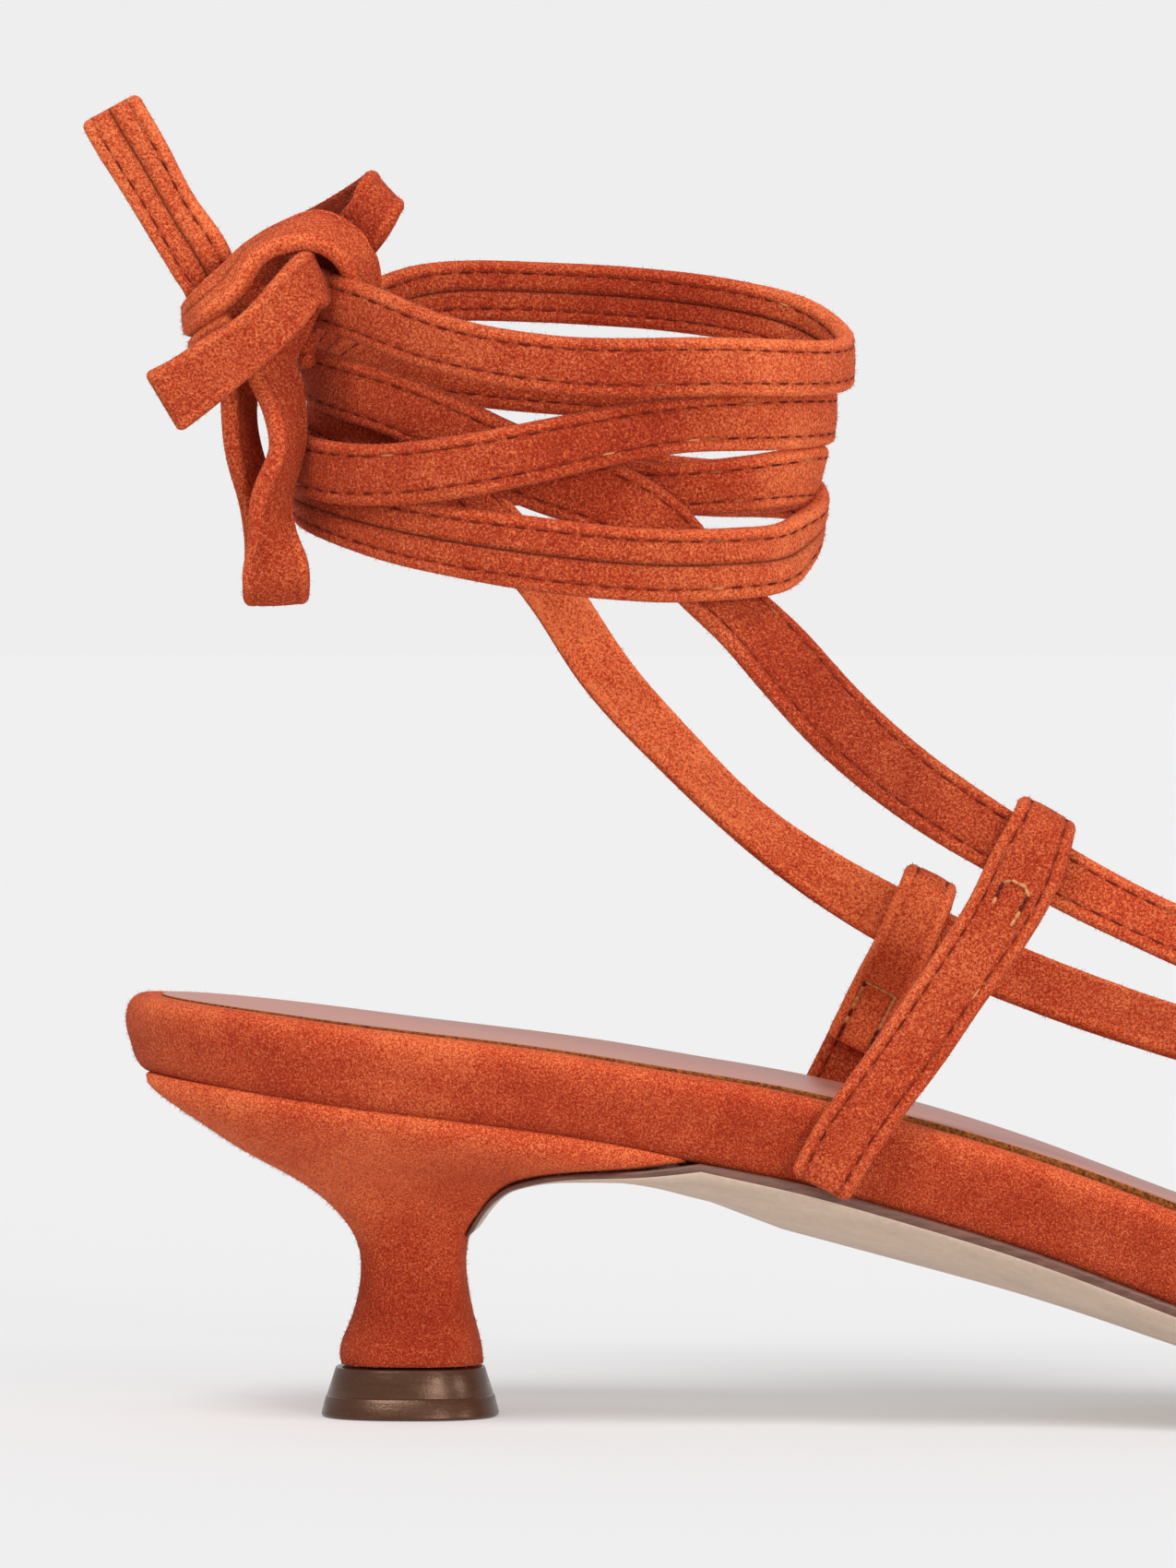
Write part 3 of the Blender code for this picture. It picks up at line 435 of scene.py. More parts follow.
# Close stitches that hold a keeper's folded end: along from its fold or from its end, and across
KEEPER_BOX = {
    "medial": ((-13.4, -1.5), (-10.6, -1.6), (-9.9, -0.8), (-9.9, 0.8), (-10.6, 1.6), (-14.2, 1.5)),
    "lateral": ((-0.7, -1.9), (-9.2, -1.9), (-9.2, 1.9), (-0.7, 1.9)),
}

# Bow: each row gives x, y, z of both edges of the flat strap
BOW_STEP = 0.4
BOW_UPPER_ROWS = (
    (19.0, -8.6, 130.0, 22.8, -11.2, 126.4),
    (21.4, -7.2, 132.4, 25.4, -9.8, 128.8),
    (23.1, -7.2, 134.6, 27.4, -9.8, 130.8),
    (24.5, -7.6, 136.4, 29.0, -10.0, 132.5),
    (26.5, -7.9, 138.9, 30.6, -10.1, 135.0),
    (27.2, -7.3, 140.2, 31.0, -9.5, 136.3),
    (27.4, -6.2, 140.7, 31.1, -8.6, 136.8),
    (27.0, -4.4, 140.8, 30.6, -6.9, 136.7),
    (25.7, -3.4, 140.1, 29.4, -6.0, 135.8),
    (23.4, -3.0, 138.7, 27.0, -5.6, 134.2),
    (20.3, -2.4, 137.0, 23.9, -5.0, 132.3),
    (17.6, -2.0, 135.6, 21.2, -4.8, 130.6),
    (14.8, -1.9, 132.9, 18.6, -4.6, 128.3),
    (12.5, -1.9, 130.4, 16.3, -4.5, 126.0),
    (11.0, -2.3, 128.8, 12.2, -6.9, 125.2),
    (11.4, -4.5, 128.7, 8.6, -8.7, 125.7),
    (12.0, -8.6, 131.6, 7.1, -9.0, 127.2),
    (8.7, -9.2, 137.8, 3.4, -9.4, 133.4),
    (5.3, -9.8, 144.0, -0.3, -10.0, 139.5),
    (2.6, -10.2, 148.8, -3.2, -10.2, 144.2),
    (1.5, -10.2, 150.8, -4.3, -10.2, 146.2),
)
BOW_LOWER_ROWS = (
    (13.7, -9.4, 122.5, 17.8, -4.6, 122.7),
    (12.2, -11.5, 118.4, 15.0, -5.7, 118.6),
    (12.1, -12.5, 114.2, 14.4, -6.7, 114.4),
    (12.5, -12.1, 108.9, 15.5, -7.5, 109.0),
    (13.4, -11.6, 105.0, 17.1, -7.6, 105.1),
    (14.0, -11.3, 100.7, 19.0, -7.9, 100.8),
    (13.8, -10.2, 96.4, 20.8, -10.2, 96.4),
    (13.9, -11.4, 94.2, 21.4, -11.4, 94.4),
    (14.0, -13.0, 93.2, 21.5, -13.0, 93.5),
    (14.1, -14.6, 94.2, 21.7, -14.6, 94.5),
    (14.2, -15.4, 96.6, 21.7, -15.4, 96.4),
    (15.1, -17.4, 100.7, 20.0, -13.8, 100.2),
    (16.0, -18.3, 104.9, 19.2, -12.9, 104.4),
    (17.5, -18.4, 108.1, 19.8, -12.4, 107.7),
    (18.0, -18.2, 109.8, 20.4, -12.2, 110.4),
    (17.4, -17.7, 112.9, 20.7, -12.3, 113.8),
    (15.8, -16.7, 116.3, 20.5, -12.5, 117.2),
    (14.9, -16.1, 118.3, 19.8, -12.3, 120.2),
    (16.5, -15.6, 122.1, 20.9, -11.2, 124.1),
    (18.1, -14.7, 126.1, 22.5, -10.1, 127.5),
    (19.8, -14.5, 130.1, 23.5, -9.5, 128.8),
    (20.7, -13.4, 131.8, 23.4, -13.0, 126.4),
    (20.5, -16.0, 131.8, 22.8, -15.6, 126.1),
    (18.6, -17.8, 129.6, 21.7, -17.4, 124.5),
    (14.5, -19.2, 125.1, 18.2, -18.8, 120.3),
    (9.2, -19.8, 121.6, 12.9, -19.4, 115.8),
    (7.0, -19.8, 120.1, 10.5, -19.4, 113.9),
    (4.0, -19.8, 118.6, 7.0, -19.6, 111.3),
)
# Painted light and shade along the bow: painted shade in the upper loop's hollow and at its root, painted
# light at its end
LOOP_HOLLOW_AT = (14.0, 19.0, 30.0, 36.0)
LOOP_HOLLOW_PAINTED_SHADE = (0.0, -3.0, -3.0, 0.0)
LOOP_ROOT_AT = (0.0, 8.0, 11.5, 42.0, 48.0)
LOOP_PAINTED_ROOT_SHADE_END_LIGHT = (-3.0, -2.8, 0.0, 0.0, 1.0)
# Knot: how open the fold along its wraps is, how much light is painted on them and how faint its stitch rows
# are
KNOT_FOLD_AT = (16.0, 21.0, 31.0, 36.0)
KNOT_FOLD = (0.0, 0.8, 0.8, 0.0)
KNOT_PAINTED_LIGHT = 0.9
KNOT_SEWN = 0.3
# Length from a bow's end over which its rows of stitches show, and how faint they are elsewhere
BOW_SEWN = {"bow_upper": 27.0, "bow_lower": 0.0}
BOW_SEWN_BLEND = 3.0
BOW_FAINT = 0.25
KNOT_OVER_ROWS = (
    (28.7, -5.0, 126.4, 25.6, -9.4, 125.7),
    (28.9, -8.0, 128.8, 25.6, -12.2, 128.1),
    (28.7, -8.6, 130.5, 25.6, -13.2, 129.6),
    (27.9, -9.2, 132.7, 24.9, -14.2, 130.9),
    (26.0, -9.6, 134.9, 23.7, -15.2, 131.9),
    (22.6, -9.6, 136.4, 21.8, -15.8, 132.6),
    (19.5, -9.6, 135.5, 19.6, -16.0, 132.6),
    (16.7, -9.8, 134.1, 17.3, -16.2, 132.0),
    (14.2, -10.2, 132.5, 15.8, -16.4, 130.8),
    (11.6, -11.4, 130.2, 13.7, -16.6, 127.3),
    (9.4, -12.2, 128.2, 11.2, -16.2, 125.0),
    (8.0, -10.2, 126.7, 8.9, -13.4, 123.8),
    (7.5, -6.4, 126.2, 7.9, -9.0, 123.2),
    (8.8, -2.6, 126.9, 9.0, -4.6, 123.0),
    (11.5, -1.0, 127.2, 11.5, -1.6, 122.6),
)
KNOT_UNDER_ROWS = (
    (11.4, -3.8, 122.2, 11.6, -4.0, 116.8),
    (9.4, -5.2, 122.4, 9.6, -5.6, 117.0),
    (8.4, -8.4, 122.7, 8.8, -8.9, 117.3),
    (9.0, -12.2, 123.0, 9.8, -12.6, 117.6),
    (10.6, -14.4, 124.2, 12.0, -14.6, 119.0),
    (13.0, -15.2, 125.6, 14.6, -15.2, 120.4),
)

# Cross-section of a turned and stitched strap, from its edge to its middle:
# distance from the edge, share of half the thickness, how dark the groove's painted shade is and how much
# light is painted on, lighter on the rolled edge and a little darker by the groove
EDGE_BEAD_ROWS = (
    (0.0, 0.0, 0.0, 0.6),
    (0.08, 0.36, 0.0, 0.8),
    (0.26, 0.68, 0.0, 0.95),
    (0.55, 0.92, 0.0, 0.9),
    (0.92, 1.0, 0.0, 0.5),
    (1.2, 0.95, 0.15, 0.0),
    (1.4, 0.84, 0.5, -0.1),
    (1.6, 0.95, 0.15, 0.0),
    (1.9, 1.03, 0.0, 0.05),
)
STRAP_HALF = 3.1
# Distance from the middle, share of half the thickness without and with a seam, the painted shade in the
# seam's groove
CREST_ROWS = (
    (0.7, 1.06, 1.04, 0.0),
    (0.2, 1.08, 0.98, 0.35),
    (0.0, 1.08, 0.7, 1.0),
)
STRAP_STEP = 0.55
FACE_SMOOTHING = 9.0
# Rounded ends: radius, places of the closer steps, how much narrower and thinner the very end is
END_ROUND = 1.0
END_STEPS = (0.04, 0.12, 0.25, 0.42, 0.65)
END_CLEAR = 0.1
END_NARROW = 0.8
END_THIN = 0.05
# Unevenness of width and thickness: share and length
UNEVEN_WIDTH = (0.02, 9.0)
UNEVEN_THICK = (0.07, 5.0)
UNEVEN_SEED = 40.0
# Stitched rows: place from the edge, height as a share of half the thickness, least depth of a
# row that is sewn, its clear ends, how it puckers from stitch to stitch, and stitch sizes' spread
STITCH_EDGE = 1.4
STITCH_RISE = 0.9
SEWN_LEAST = 0.5
ROW_END = 1.5
PUCKER = (0.7, 0.3)
STITCH_AHEAD = 0.5
STITCH_SPREAD = ((0.85, 1.1), (0.85, 1.1), (0.8, 1.1))
# Box stitches: pitch, length and radius in metres, height as a share of half the thickness
BOX_PITCH = 0.95
BOX_LENGTH = 0.0011
BOX_RADIUS = 0.00024
BOX_RISE = 1.22
BOX_AHEAD = 0.1

# Suede: the cover's grain as a share of the straps', and how deep each is in metres
COVER_GRAIN = 0.75
COVER_DEPTH = 0.0003
TIE_DEPTH = 0.0005

# Loose nap fibres: how many to a square millimetre, how upright, how stray, the way they lie,
# the flattest they lie, what sets their sides, their share above the suede, spread of sizes,
# and shares of their tones
NAP_DENSITY = 2.5
NAP_RISE = 0.5
NAP_STRAY = 0.5
NAP_LAY = (-0.1, 0.0, -0.15)
NAP_FLATTEST = 0.12
NAP_ASIDE = (0.1, 0.2, 0.3)
NAP_ROOT = 0.4
NAP_LENGTHS = (0.5, 1.2)
NAP_THICKS = (0.7, 1.2)
NAP_TONES = ("suede_light", "suede", "suede_dark")
NAP_SHARES = (0.3, 0.5, 0.2)

# Studio: camera, floor, ambient light, and lamps with their strength, spread and direction
CAMERA_SPOT = (120.0, -1150.0, 90.0)
CAMERA_AIM = (52.2, 0.0, 72.0)
CAMERA_LENS = 232.4
CAMERA_SENSOR = 36.0
VIEW_END = 100.0
FLOOR_HALF = 30.0
FLOOR_GREY = 0.5
FLOOR_GLOW = 0.295
AMBIENT = 0.56
LAMP_ROWS = (
    ("key_light", 1.9, 30.0, (0.3, 0.55, -1.0)),
    ("front_light", 1.0, 24.0, (-0.5, 1.0, -0.12)),
    ("side_light", 0.32, 8.0, (-0.6, 1.0, -0.5)),
    ("toe_light", 0.5, 20.0, (-1.0, 0.32, -0.25)),
    ("back_light", 0.3, 60.0, (0.2, -1.0, -0.6)),
)

Line = namedtuple("Line", "centre side face width along")


def hex_colour(code):
    """A written colour as linear red, green, blue and alpha."""
    values = [int(code[i:i + 2], 16) / 255 for i in (0, 2, 4)]
    linear = [v / 12.92 if v <= 0.04045 else ((v + 0.055) / 1.055) ** 2.4 for v in values]
    return (*linear, 1.0)


class SandalSizes(bpy.types.PropertyGroup):
    """Sizes of the soft details."""
    strap_thick: FloatProperty(
        name="Strap thickness", description="Thickness of the tie", default=0.0021, unit="LENGTH")
    stitch_pitch: FloatProperty(
        name="Stitch pitch", description="Distance from stitch to stitch", default=0.0025, unit="LENGTH")
    stitch_length: FloatProperty(
        name="Stitch length", description="Length of one stitch", default=0.0017, unit="LENGTH")
    thread_radius: FloatProperty(
        name="Thread radius", description="Half the thread's thickness", default=0.00015, unit="LENGTH")
    nap_grain: FloatProperty(
        name="Nap grain", description="Size of the tufts in the suede", default=0.0003, unit="LENGTH")
    nap_length: FloatProperty(
        name="Nap length", description="Length of a loose fibre", default=0.00055, unit="LENGTH")
    nap_thick: FloatProperty(
        name="Nap thickness", description="Thickness of a loose fibre", default=0.00006, unit="LENGTH")


class SandalColours(bpy.types.PropertyGroup):
    """Colours of the leathers and the studio."""
    suede: FloatVectorProperty(
        name="Suede", description="Middle tone", subtype="COLOR", size=4, default=hex_colour("B93D20"))
    suede_light: FloatVectorProperty(
        name="Suede nap", description="Raised nap", subtype="COLOR", size=4, default=hex_colour("EA7F4C"))
    suede_dark: FloatVectorProperty(
        name="Suede depth", description="Between the tufts", subtype="COLOR", size=4,
        default=hex_colour("88200A"))
    # Painted shade at the bottom of seams and stitched rows, also the darkest stitches
    seam: FloatVectorProperty(
        name="Seam", description="Bottom of the seams", subtype="COLOR", size=4, default=hex_colour("5C1609"))
    thread: FloatVectorProperty(
        name="Thread", description="Sewing thread", subtype="COLOR", size=4, default=hex_colour("76220E"))
    # Painted glint: the colour of stitches that catch the light
    thread_painted_glint: FloatVectorProperty(
        name="Thread glint", description="Lit stitches", subtype="COLOR", size=4,
        default=hex_colour("C98555"))
    sock: FloatVectorProperty(
        name="Sock", description="Sock leather", subtype="COLOR", size=4, default=hex_colour("B4705F"))
    raw_edge: FloatVectorProperty(
        name="Raw edge", description="Cut edge of the sock", subtype="COLOR", size=4,
        default=hex_colour("8E5526"))
    sole: FloatVectorProperty(
        name="Sole", description="Sole leather", subtype="COLOR", size=4, default=hex_colour("D3BAA5"))
    sole_edge: FloatVectorProperty(
        name="Sole edge", description="Painted sole edge", subtype="COLOR", size=4,
        default=hex_colour("6B463A"))
    tip: FloatVectorProperty(
        name="Heel tip", description="Heel tip rubber", subtype="COLOR", size=4, default=hex_colour("3E2416"))
    studio: FloatVectorProperty(
        name="Studio", description="Floor and background", subtype="COLOR", size=4,
        default=hex_colour("EEEEEE"))


def column(rows, names, name):
    """Values of one named column of a table."""
    return [row[names.index(name)] for row in rows]


def spline(xs, ys):
    """Natural cubic through the given points, as a function of x."""
    xs = np.array(xs, float)
    ys = np.array(ys, float)
    n = len(xs)
    h = np.diff(xs)
    system = np.eye(n)
    right = np.zeros(n)
    for i in range(1, n - 1):
        system[i, i - 1:i + 2] = (h[i - 1], 2 * (h[i - 1] + h[i]), h[i])
        right[i] = 6 * ((ys[i + 1] - ys[i]) / h[i] - (ys[i] - ys[i - 1]) / h[i - 1])
    bend = np.linalg.solve(system, right)

    def value(x):
        i = np.clip(np.searchsorted(xs, x) - 1, 0, n - 2)
        a = (xs[i + 1] - x) / h[i]
        b = 1 - a
        curve = (a ** 3 - a) * bend[i] + (b ** 3 - b) * bend[i + 1]
        return a * ys[i] + b * ys[i + 1] + curve * h[i] ** 2 / 6

    return value


def table_spline(rows, names, key):
    """One column of a table as a smooth function of its first column."""
    return spline(column(rows, names, names[0]), column(rows, names, key))


EDGE, HEIGHT, TOP_DROP, UNDER_DROP, BELLY = [
    table_spline(PROFILE_ROWS, PROFILE_COLUMNS, key) for key in PROFILE_COLUMNS[1:]]
MEDIAL, LATERAL = [table_spline(WIDTH_ROWS, WIDTH_COLUMNS, key) for key in WIDTH_COLUMNS[1:]]


def lengths_along(points):
    """Length along a line from its first point to each of its points."""
    gaps = np.linalg.norm(np.diff(points, axis=0), axis=1)
    return np.concatenate(([0.0], np.cumsum(gaps)))


def splined(lengths, columns, at):
    """Every column of a table carried smoothly to new lengths."""
    return np.array([spline(lengths, values)(at) for values in columns.T]).T


def resampled(rows, count):
    """A table's rows smoothed to an even count along their own length."""
    rows = np.array(rows, float)
    lengths = lengths_along(rows)
    return splined(lengths, rows, np.linspace(0.0, lengths[-1], count))


def half_width(x, side):
    """Half width of the sole plan at x, with a round heel and toe."""
    x = min(max(x, 0.0), LENGTH)
    widths = MEDIAL if side < 0 else LATERAL
    if x < HEEL_CENTRE:
        share = (HEEL_CENTRE - x) / HEEL_CENTRE
        return widths(HEEL_CENTRE) * (1 - share ** HEEL_POWER) ** (1 / HEEL_POWER)
    if x > TOE_CENTRE:
        share = (x - TOE_CENTRE) / (LENGTH - TOE_CENTRE)
        return widths(TOE_CENTRE) * max(0.0, 1 - share ** TOE_POWER) ** (1 / TOE_POWER)
    return widths(x)


def middle(x):
    """Sideways shift of the plan, toward the big toe at the front."""
    share = min(max((x - TOE_CENTRE) / (LENGTH - TOE_CENTRE), 0.0), 1.0)
    return TOE_SHIFT * share * share


def across(x, y):
    """Where y lies across the sole: 0 at the medial edge, 1 at the lateral."""
    low = middle(x) - half_width(x, -1)
    high = middle(x) + half_width(x, 1)
    return min(max((y - low) / max(high - low, LEAST_WIDTH), 0.0), 1.0)


def belly(x, v):
    """How far the underside hangs between its edges."""
    return max(BELLY(x), 0.0) * 4 * v * (1 - v)


def sag(x, y):
    """How far the underside lies below its medial edge."""
    v = across(x, y)
    return max(UNDER_DROP(x), 0.0) * v + belly(x, v)


def underside(x, y):
    """Height of the footbed's bottom face."""
    return EDGE(x) - sag(x, y)


def topside(x, y):
    """Height of the footbed's top face."""
    return EDGE(x) + HEIGHT(x) - max(TOP_DROP(x), 0.0) * across(x, y)


def inset_loop(points, inset, reach=None):
    """A closed plan line moved inward by one distance, or by one for each point.

    With a reach, the way in is taken over that length of the line, so that no corner folds over.
    """
    loop = np.array(points, float)
    before, after = np.roll(loop, 1, axis=0), np.roll(loop, -1, axis=0)
    if reach is not None:
        closed = np.vstack((loop, loop[:1]))
        at = lengths_along(closed)
        before, after = [
            np.array([np.interp((at[:-1] + step) % at[-1], at, values) for values in closed.T]).T
            for step in (-reach, reach)]
    tangent = unit(after - before)
    inward = np.stack((-tangent[:, 1], tangent[:, 0]), axis=1)
    return [tuple(point) for point in loop + inward * np.reshape(inset, (-1, 1))]


def stations():
    """Places along the sole, closer together at the round ends."""
    return [ORIGIN_X * (1 - math.cos(math.pi * i / SIDE_STATIONS)) for i in range(SIDE_STATIONS + 1)]


def plan_loop():
    """Sole plan as a closed line: medial side to the toe, lateral side back."""
    xs = stations()
    medial = [(x, middle(x) - half_width(x, -1)) for x in xs]
    lateral = [(x, middle(x) + half_width(x, 1)) for x in xs[1:-1]]
    return medial + lateral[::-1]


def place(point):
    """Table millimetres to metres about the middle of the sole."""
    return Vector(((point[0] - ORIGIN_X) * MM, point[1] * MM, point[2] * MM))


def waver(x, y, z, size):
    """A smooth seeded unevenness from -1 to 1, its bumps about size millimetres long."""
    return noise.noise(Vector((x / size, y / size, z / size)))


def first_ring(mesh_data, points):
    """A closed ring of edges through the given points."""
    made = bmesh.ops.create_circle(mesh_data, segments=len(points), radius=1.0)
    ring = list(made["verts"])
    for vert, point in zip(ring, points):
        vert.co = place(point)
    return ring


def ring_edges(ring):
    """Edges that run round a ring of vertices."""
    inside = set(ring)
    found = {edge for vert in ring for edge in vert.link_edges}
    return [edge for edge in found if edge.verts[0] in inside and edge.verts[1] in inside]


def next_ring(mesh_data, ring, points, material=0):
    """The ring carried on to the next section."""
    made = bmesh.ops.extrude_edge_only(mesh_data, edges=ring_edges(ring))
    new = {item for item in made["geom"] if isinstance(item, bmesh.types.BMVert)}
    for item in made["geom"]:
        if isinstance(item, bmesh.types.BMFace):
            item.material_index = material
    follow = []
    for vert in ring:
        follow.append(next(e.other_vert(vert) for e in vert.link_edges if e.other_vert(vert) in new))
    for vert, point in zip(follow, points):
        vert.co = place(point)
    return follow


def stacked(mesh_data, sections, materials=None):
    """Rings carried from section to section, the faces before each with its material."""
    rings = [first_ring(mesh_data, sections[0])]
    for points, material in zip(sections[1:], (materials or [0] * len(sections))[1:]):
        rings.append(next_ring(mesh_data, rings[-1], points, material))
    return rings


def wrapped(sections):
    """Closed sections as one grid of points that faces outward."""
    return np.array([points + points[:1] for points in sections])[:, ::-1]


def bridged(mesh_data, ring, near, far):
    """Faces and rungs from one side of a ring to the other, its tips filled as well."""
    chains = [e for e in ring_edges(ring) if set(e.verts) <= near or set(e.verts) <= far]
    made = bmesh.ops.bridge_loops(mesh_data, edges=chains)
    open_edges = [e for e in ring_edges(ring) if e.is_boundary]
    tips = bmesh.ops.holes_fill(mesh_data, edges=open_edges, sides=4)
    return list(made["faces"]) + tips["faces"], made["edges"]


def ladder(mesh_data, ring, material=0):
    """Fill a long ring from side to side; its tips are the first point and the one half way round."""
    half = len(ring) // 2
    faces, _ = bridged(mesh_data, ring, set(ring[1:half]), set(ring[half + 1:]))
    for face in faces:
        face.material_index = material


def finished(name, mesh_data, materials, nodes, sharp=None):
    """A piece from a bmesh, riding on the sandal in place of its solids."""
    bmesh.ops.recalc_face_normals(mesh_data, faces=mesh_data.faces)
    data = bpy.data.meshes.new(name)
    mesh_data.to_mesh(data)
    mesh_data.free()
    return dressed(name, data, materials, nodes, sharp)


def dressed(name, data, materials, nodes, sharp=None):
    """A mesh as a smooth shaded piece of the sandal."""
    for material in materials:
        data.materials.append(material)
    data.shade_smooth()
    if sharp is not None:
        data.set_sharp_from_angle(angle=math.radians(sharp))
    piece = bpy.data.objects.new(name, data)
    bpy.context.scene.collection.objects.link(piece)
    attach(piece, BODY)
    if nodes:
        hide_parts(*nodes)
    return piece


def rounded(angle, power):
    """A point on a squared circle."""
    c = math.cos(angle)
    s = math.sin(angle)
    return (
        math.copysign(abs(c) ** (2 / power), c),
        math.copysign(abs(s) ** (2 / power), s),
    )


def even_ring(back_power, front_power, count):
    """Evenly spaced points round a shape that is squared by one power behind and another in front."""
    angles = math.pi + np.linspace(0.0, 2 * math.pi, RING_SAMPLES)
    dense = np.array([rounded(a, front_power if math.cos(a) > 0 else back_power) for a in angles])
    lengths = lengths_along(dense)
    at = np.linspace(0.0, lengths[-1], count + 1)[:-1]
    return list(zip(np.interp(at, lengths, dense[:, 0]), np.interp(at, lengths, dense[:, 1])))


def eased(value, limit):
    """The smaller of two lengths, with a soft turn from one to the other."""
    return value * limit / (value ** EASE + limit ** EASE) ** (1 / EASE)


def crease(x):
    """How deep the crease between the heel and the footbed is, fading at both ends."""
    return CREASE * np.interp(x, CREASE_AT, CREASE_SHARE)


def wrap_points(rows):
    """Ankle wrap rows as strap rows."""
    points = []
    for turn, layer, *rest in rows:
        angle = math.radians(turn)
        x = ANKLE_X - (ANKLE_HALF_LENGTH + layer) * math.cos(angle)
        y = -(ANKLE_HALF_WIDTH + layer) * math.sin(angle)
        points.append((x, y, *rest))
    return points


def unit(vectors):
    """Each row made one long."""
    return vectors / np.linalg.norm(vectors, axis=1, keepdims=True)


def square_to(vectors, tangent):
    """Each row made square to its tangent and one long."""
    return unit(vectors - tangent * np.sum(vectors * tangent, axis=1, keepdims=True))


def carried(centres, columns, step):
    """Columns carried along the smooth line of the centres at an even step."""
    lengths = lengths_along(centres)
    count = max(2, int(round(lengths[-1] / step)))
    tips = np.array(END_STEPS)
    clear = tips[-1] + END_CLEAR
    inner = np.linspace(0.0, lengths[-1], count + 1)
    inner = inner[(inner > clear) & (inner < lengths[-1] - clear)]
    at = np.concatenate(([0.0], tips, inner, lengths[-1] - tips[::-1], [lengths[-1]]))
    return splined(lengths, columns, at)


def line_of(centre, tangent, face, width):
    """A strap's line from its parts."""
    return Line(centre, np.cross(tangent, face), face, width, lengths_along(centre))


def foot_outward(points):
    """Directions away from the middle line of the foot."""
    best = np.full(points.shape, FAR_OFF)
    for a, b in zip(FOOT_LINE, FOOT_LINE[1:]):
        a = np.array(a)
        run = np.array(b) - a
        share = np.clip((points - a) @ run / (run @ run), 0.0, 1.0)
        away = points - (a + share[:, None] * run)
        closer = np.linalg.norm(away, axis=1) < np.linalg.norm(best, axis=1)
        best[closer] = away[closer]
    high = points[:, 2] > WRAP_FLOOR
    best[high] = (points[high] - (ANKLE_X, 0.0, 0.0)) * (1.0, 1.0, 0.0)
    return unit(best)


def smoothed(vectors, step):
    """Directions evened out along a strap."""
    reach = int(FACE_SMOOTHING / step)
    padded = np.vstack([vectors[:1]] * reach + [vectors] + [vectors[-1:]] * reach)
    window = np.hanning(2 * reach + 3)[1:-1]
    window /= window.sum()
    return unit(np.array([np.convolve(padded[:, i], window, mode="valid") for i in range(3)]).T)


def strap_line(rows, step=STRAP_STEP, axis=None):
    """Line of a strap that lies round the foot, or whose width stays along an axis."""
    rows = np.array([(*row, 0.0)[:5] for row in rows], float)
    table = carried(rows[:, :3], rows, step)
    centre = table[:, :3]
    tangent = unit(np.gradient(centre, axis=0))
    if axis is None:
        face = square_to(smoothed(foot_outward(centre), step), tangent)
    else:
        wide = square_to(np.tile(np.array(axis, float), (len(centre), 1)), tangent)
        face = np.cross(wide, tangent)
    side = np.cross(tangent, face)
    roll = np.radians(table[:, 4])[:, None]
    return line_of(centre, tangent, face * np.cos(roll) + side * np.sin(roll), table[:, 3])


def edge_line(rows, step=STRAP_STEP):
    """Line of a strap from the rows of its two edges."""
    rows = np.array(rows, float)
    table = carried((rows[:, :3] + rows[:, 3:]) / 2, rows, step)
    centre = (table[:, :3] + table[:, 3:]) / 2
    reach = table[:, 3:] - table[:, :3]
    tangent = unit(np.gradient(centre, axis=0))
    wide = square_to(reach, tangent)
    return line_of(centre, tangent, np.cross(wide, tangent), np.linalg.norm(reach, axis=1))


def section(line, thick, pitch, seams, sewn, shade):
    """Across, height, painted groove shade and painted light and shade of every point round a strap at every
    step.
    """
    half = line.width / 2
    fit = np.minimum(half / STRAP_HALF, 1.0)
    pucker = PUCKER[0] + PUCKER[1] * np.cos(2 * np.pi * line.along / pitch)
    points = []
    for up, seam, thread, painted_light in zip((1, -1), seams, sewn, shade):
        face = []
        # The bead is painted lighter on the rolled edge and a little darker by the groove; the groove itself
        # is painted dark
        for from_edge, rise, groove, nap in EDGE_BEAD_ROWS:
            dip = 1 - (1 - rise) * pucker * thread if groove else rise + 0 * half
            face.append((half - from_edge * fit, dip, groove * thread, nap + painted_light))
        for from_middle, rise, seam_rise, groove in CREST_ROWS:
            face.append((from_middle * fit, rise + (seam_rise - rise) * seam, groove * seam, painted_light))
        face += [(-reach, *rest) for reach, *rest in face[-2::-1]]
        points += [(up * reach, up * rise * thick / 2, *rest) for reach, rise, *rest in face[:-1]]
    points.append(points[0])
    return [np.array([point[i] for point in points]).T for i in range(4)]


def end_round(line, radius):
    """How full the strap is near its rounded ends, from 0 at the very end to 1."""
    gap = np.minimum(np.minimum(line.along, line.along[-1] - line.along), radius)
    return np.sqrt(1 - (1 - gap / radius) ** 2)


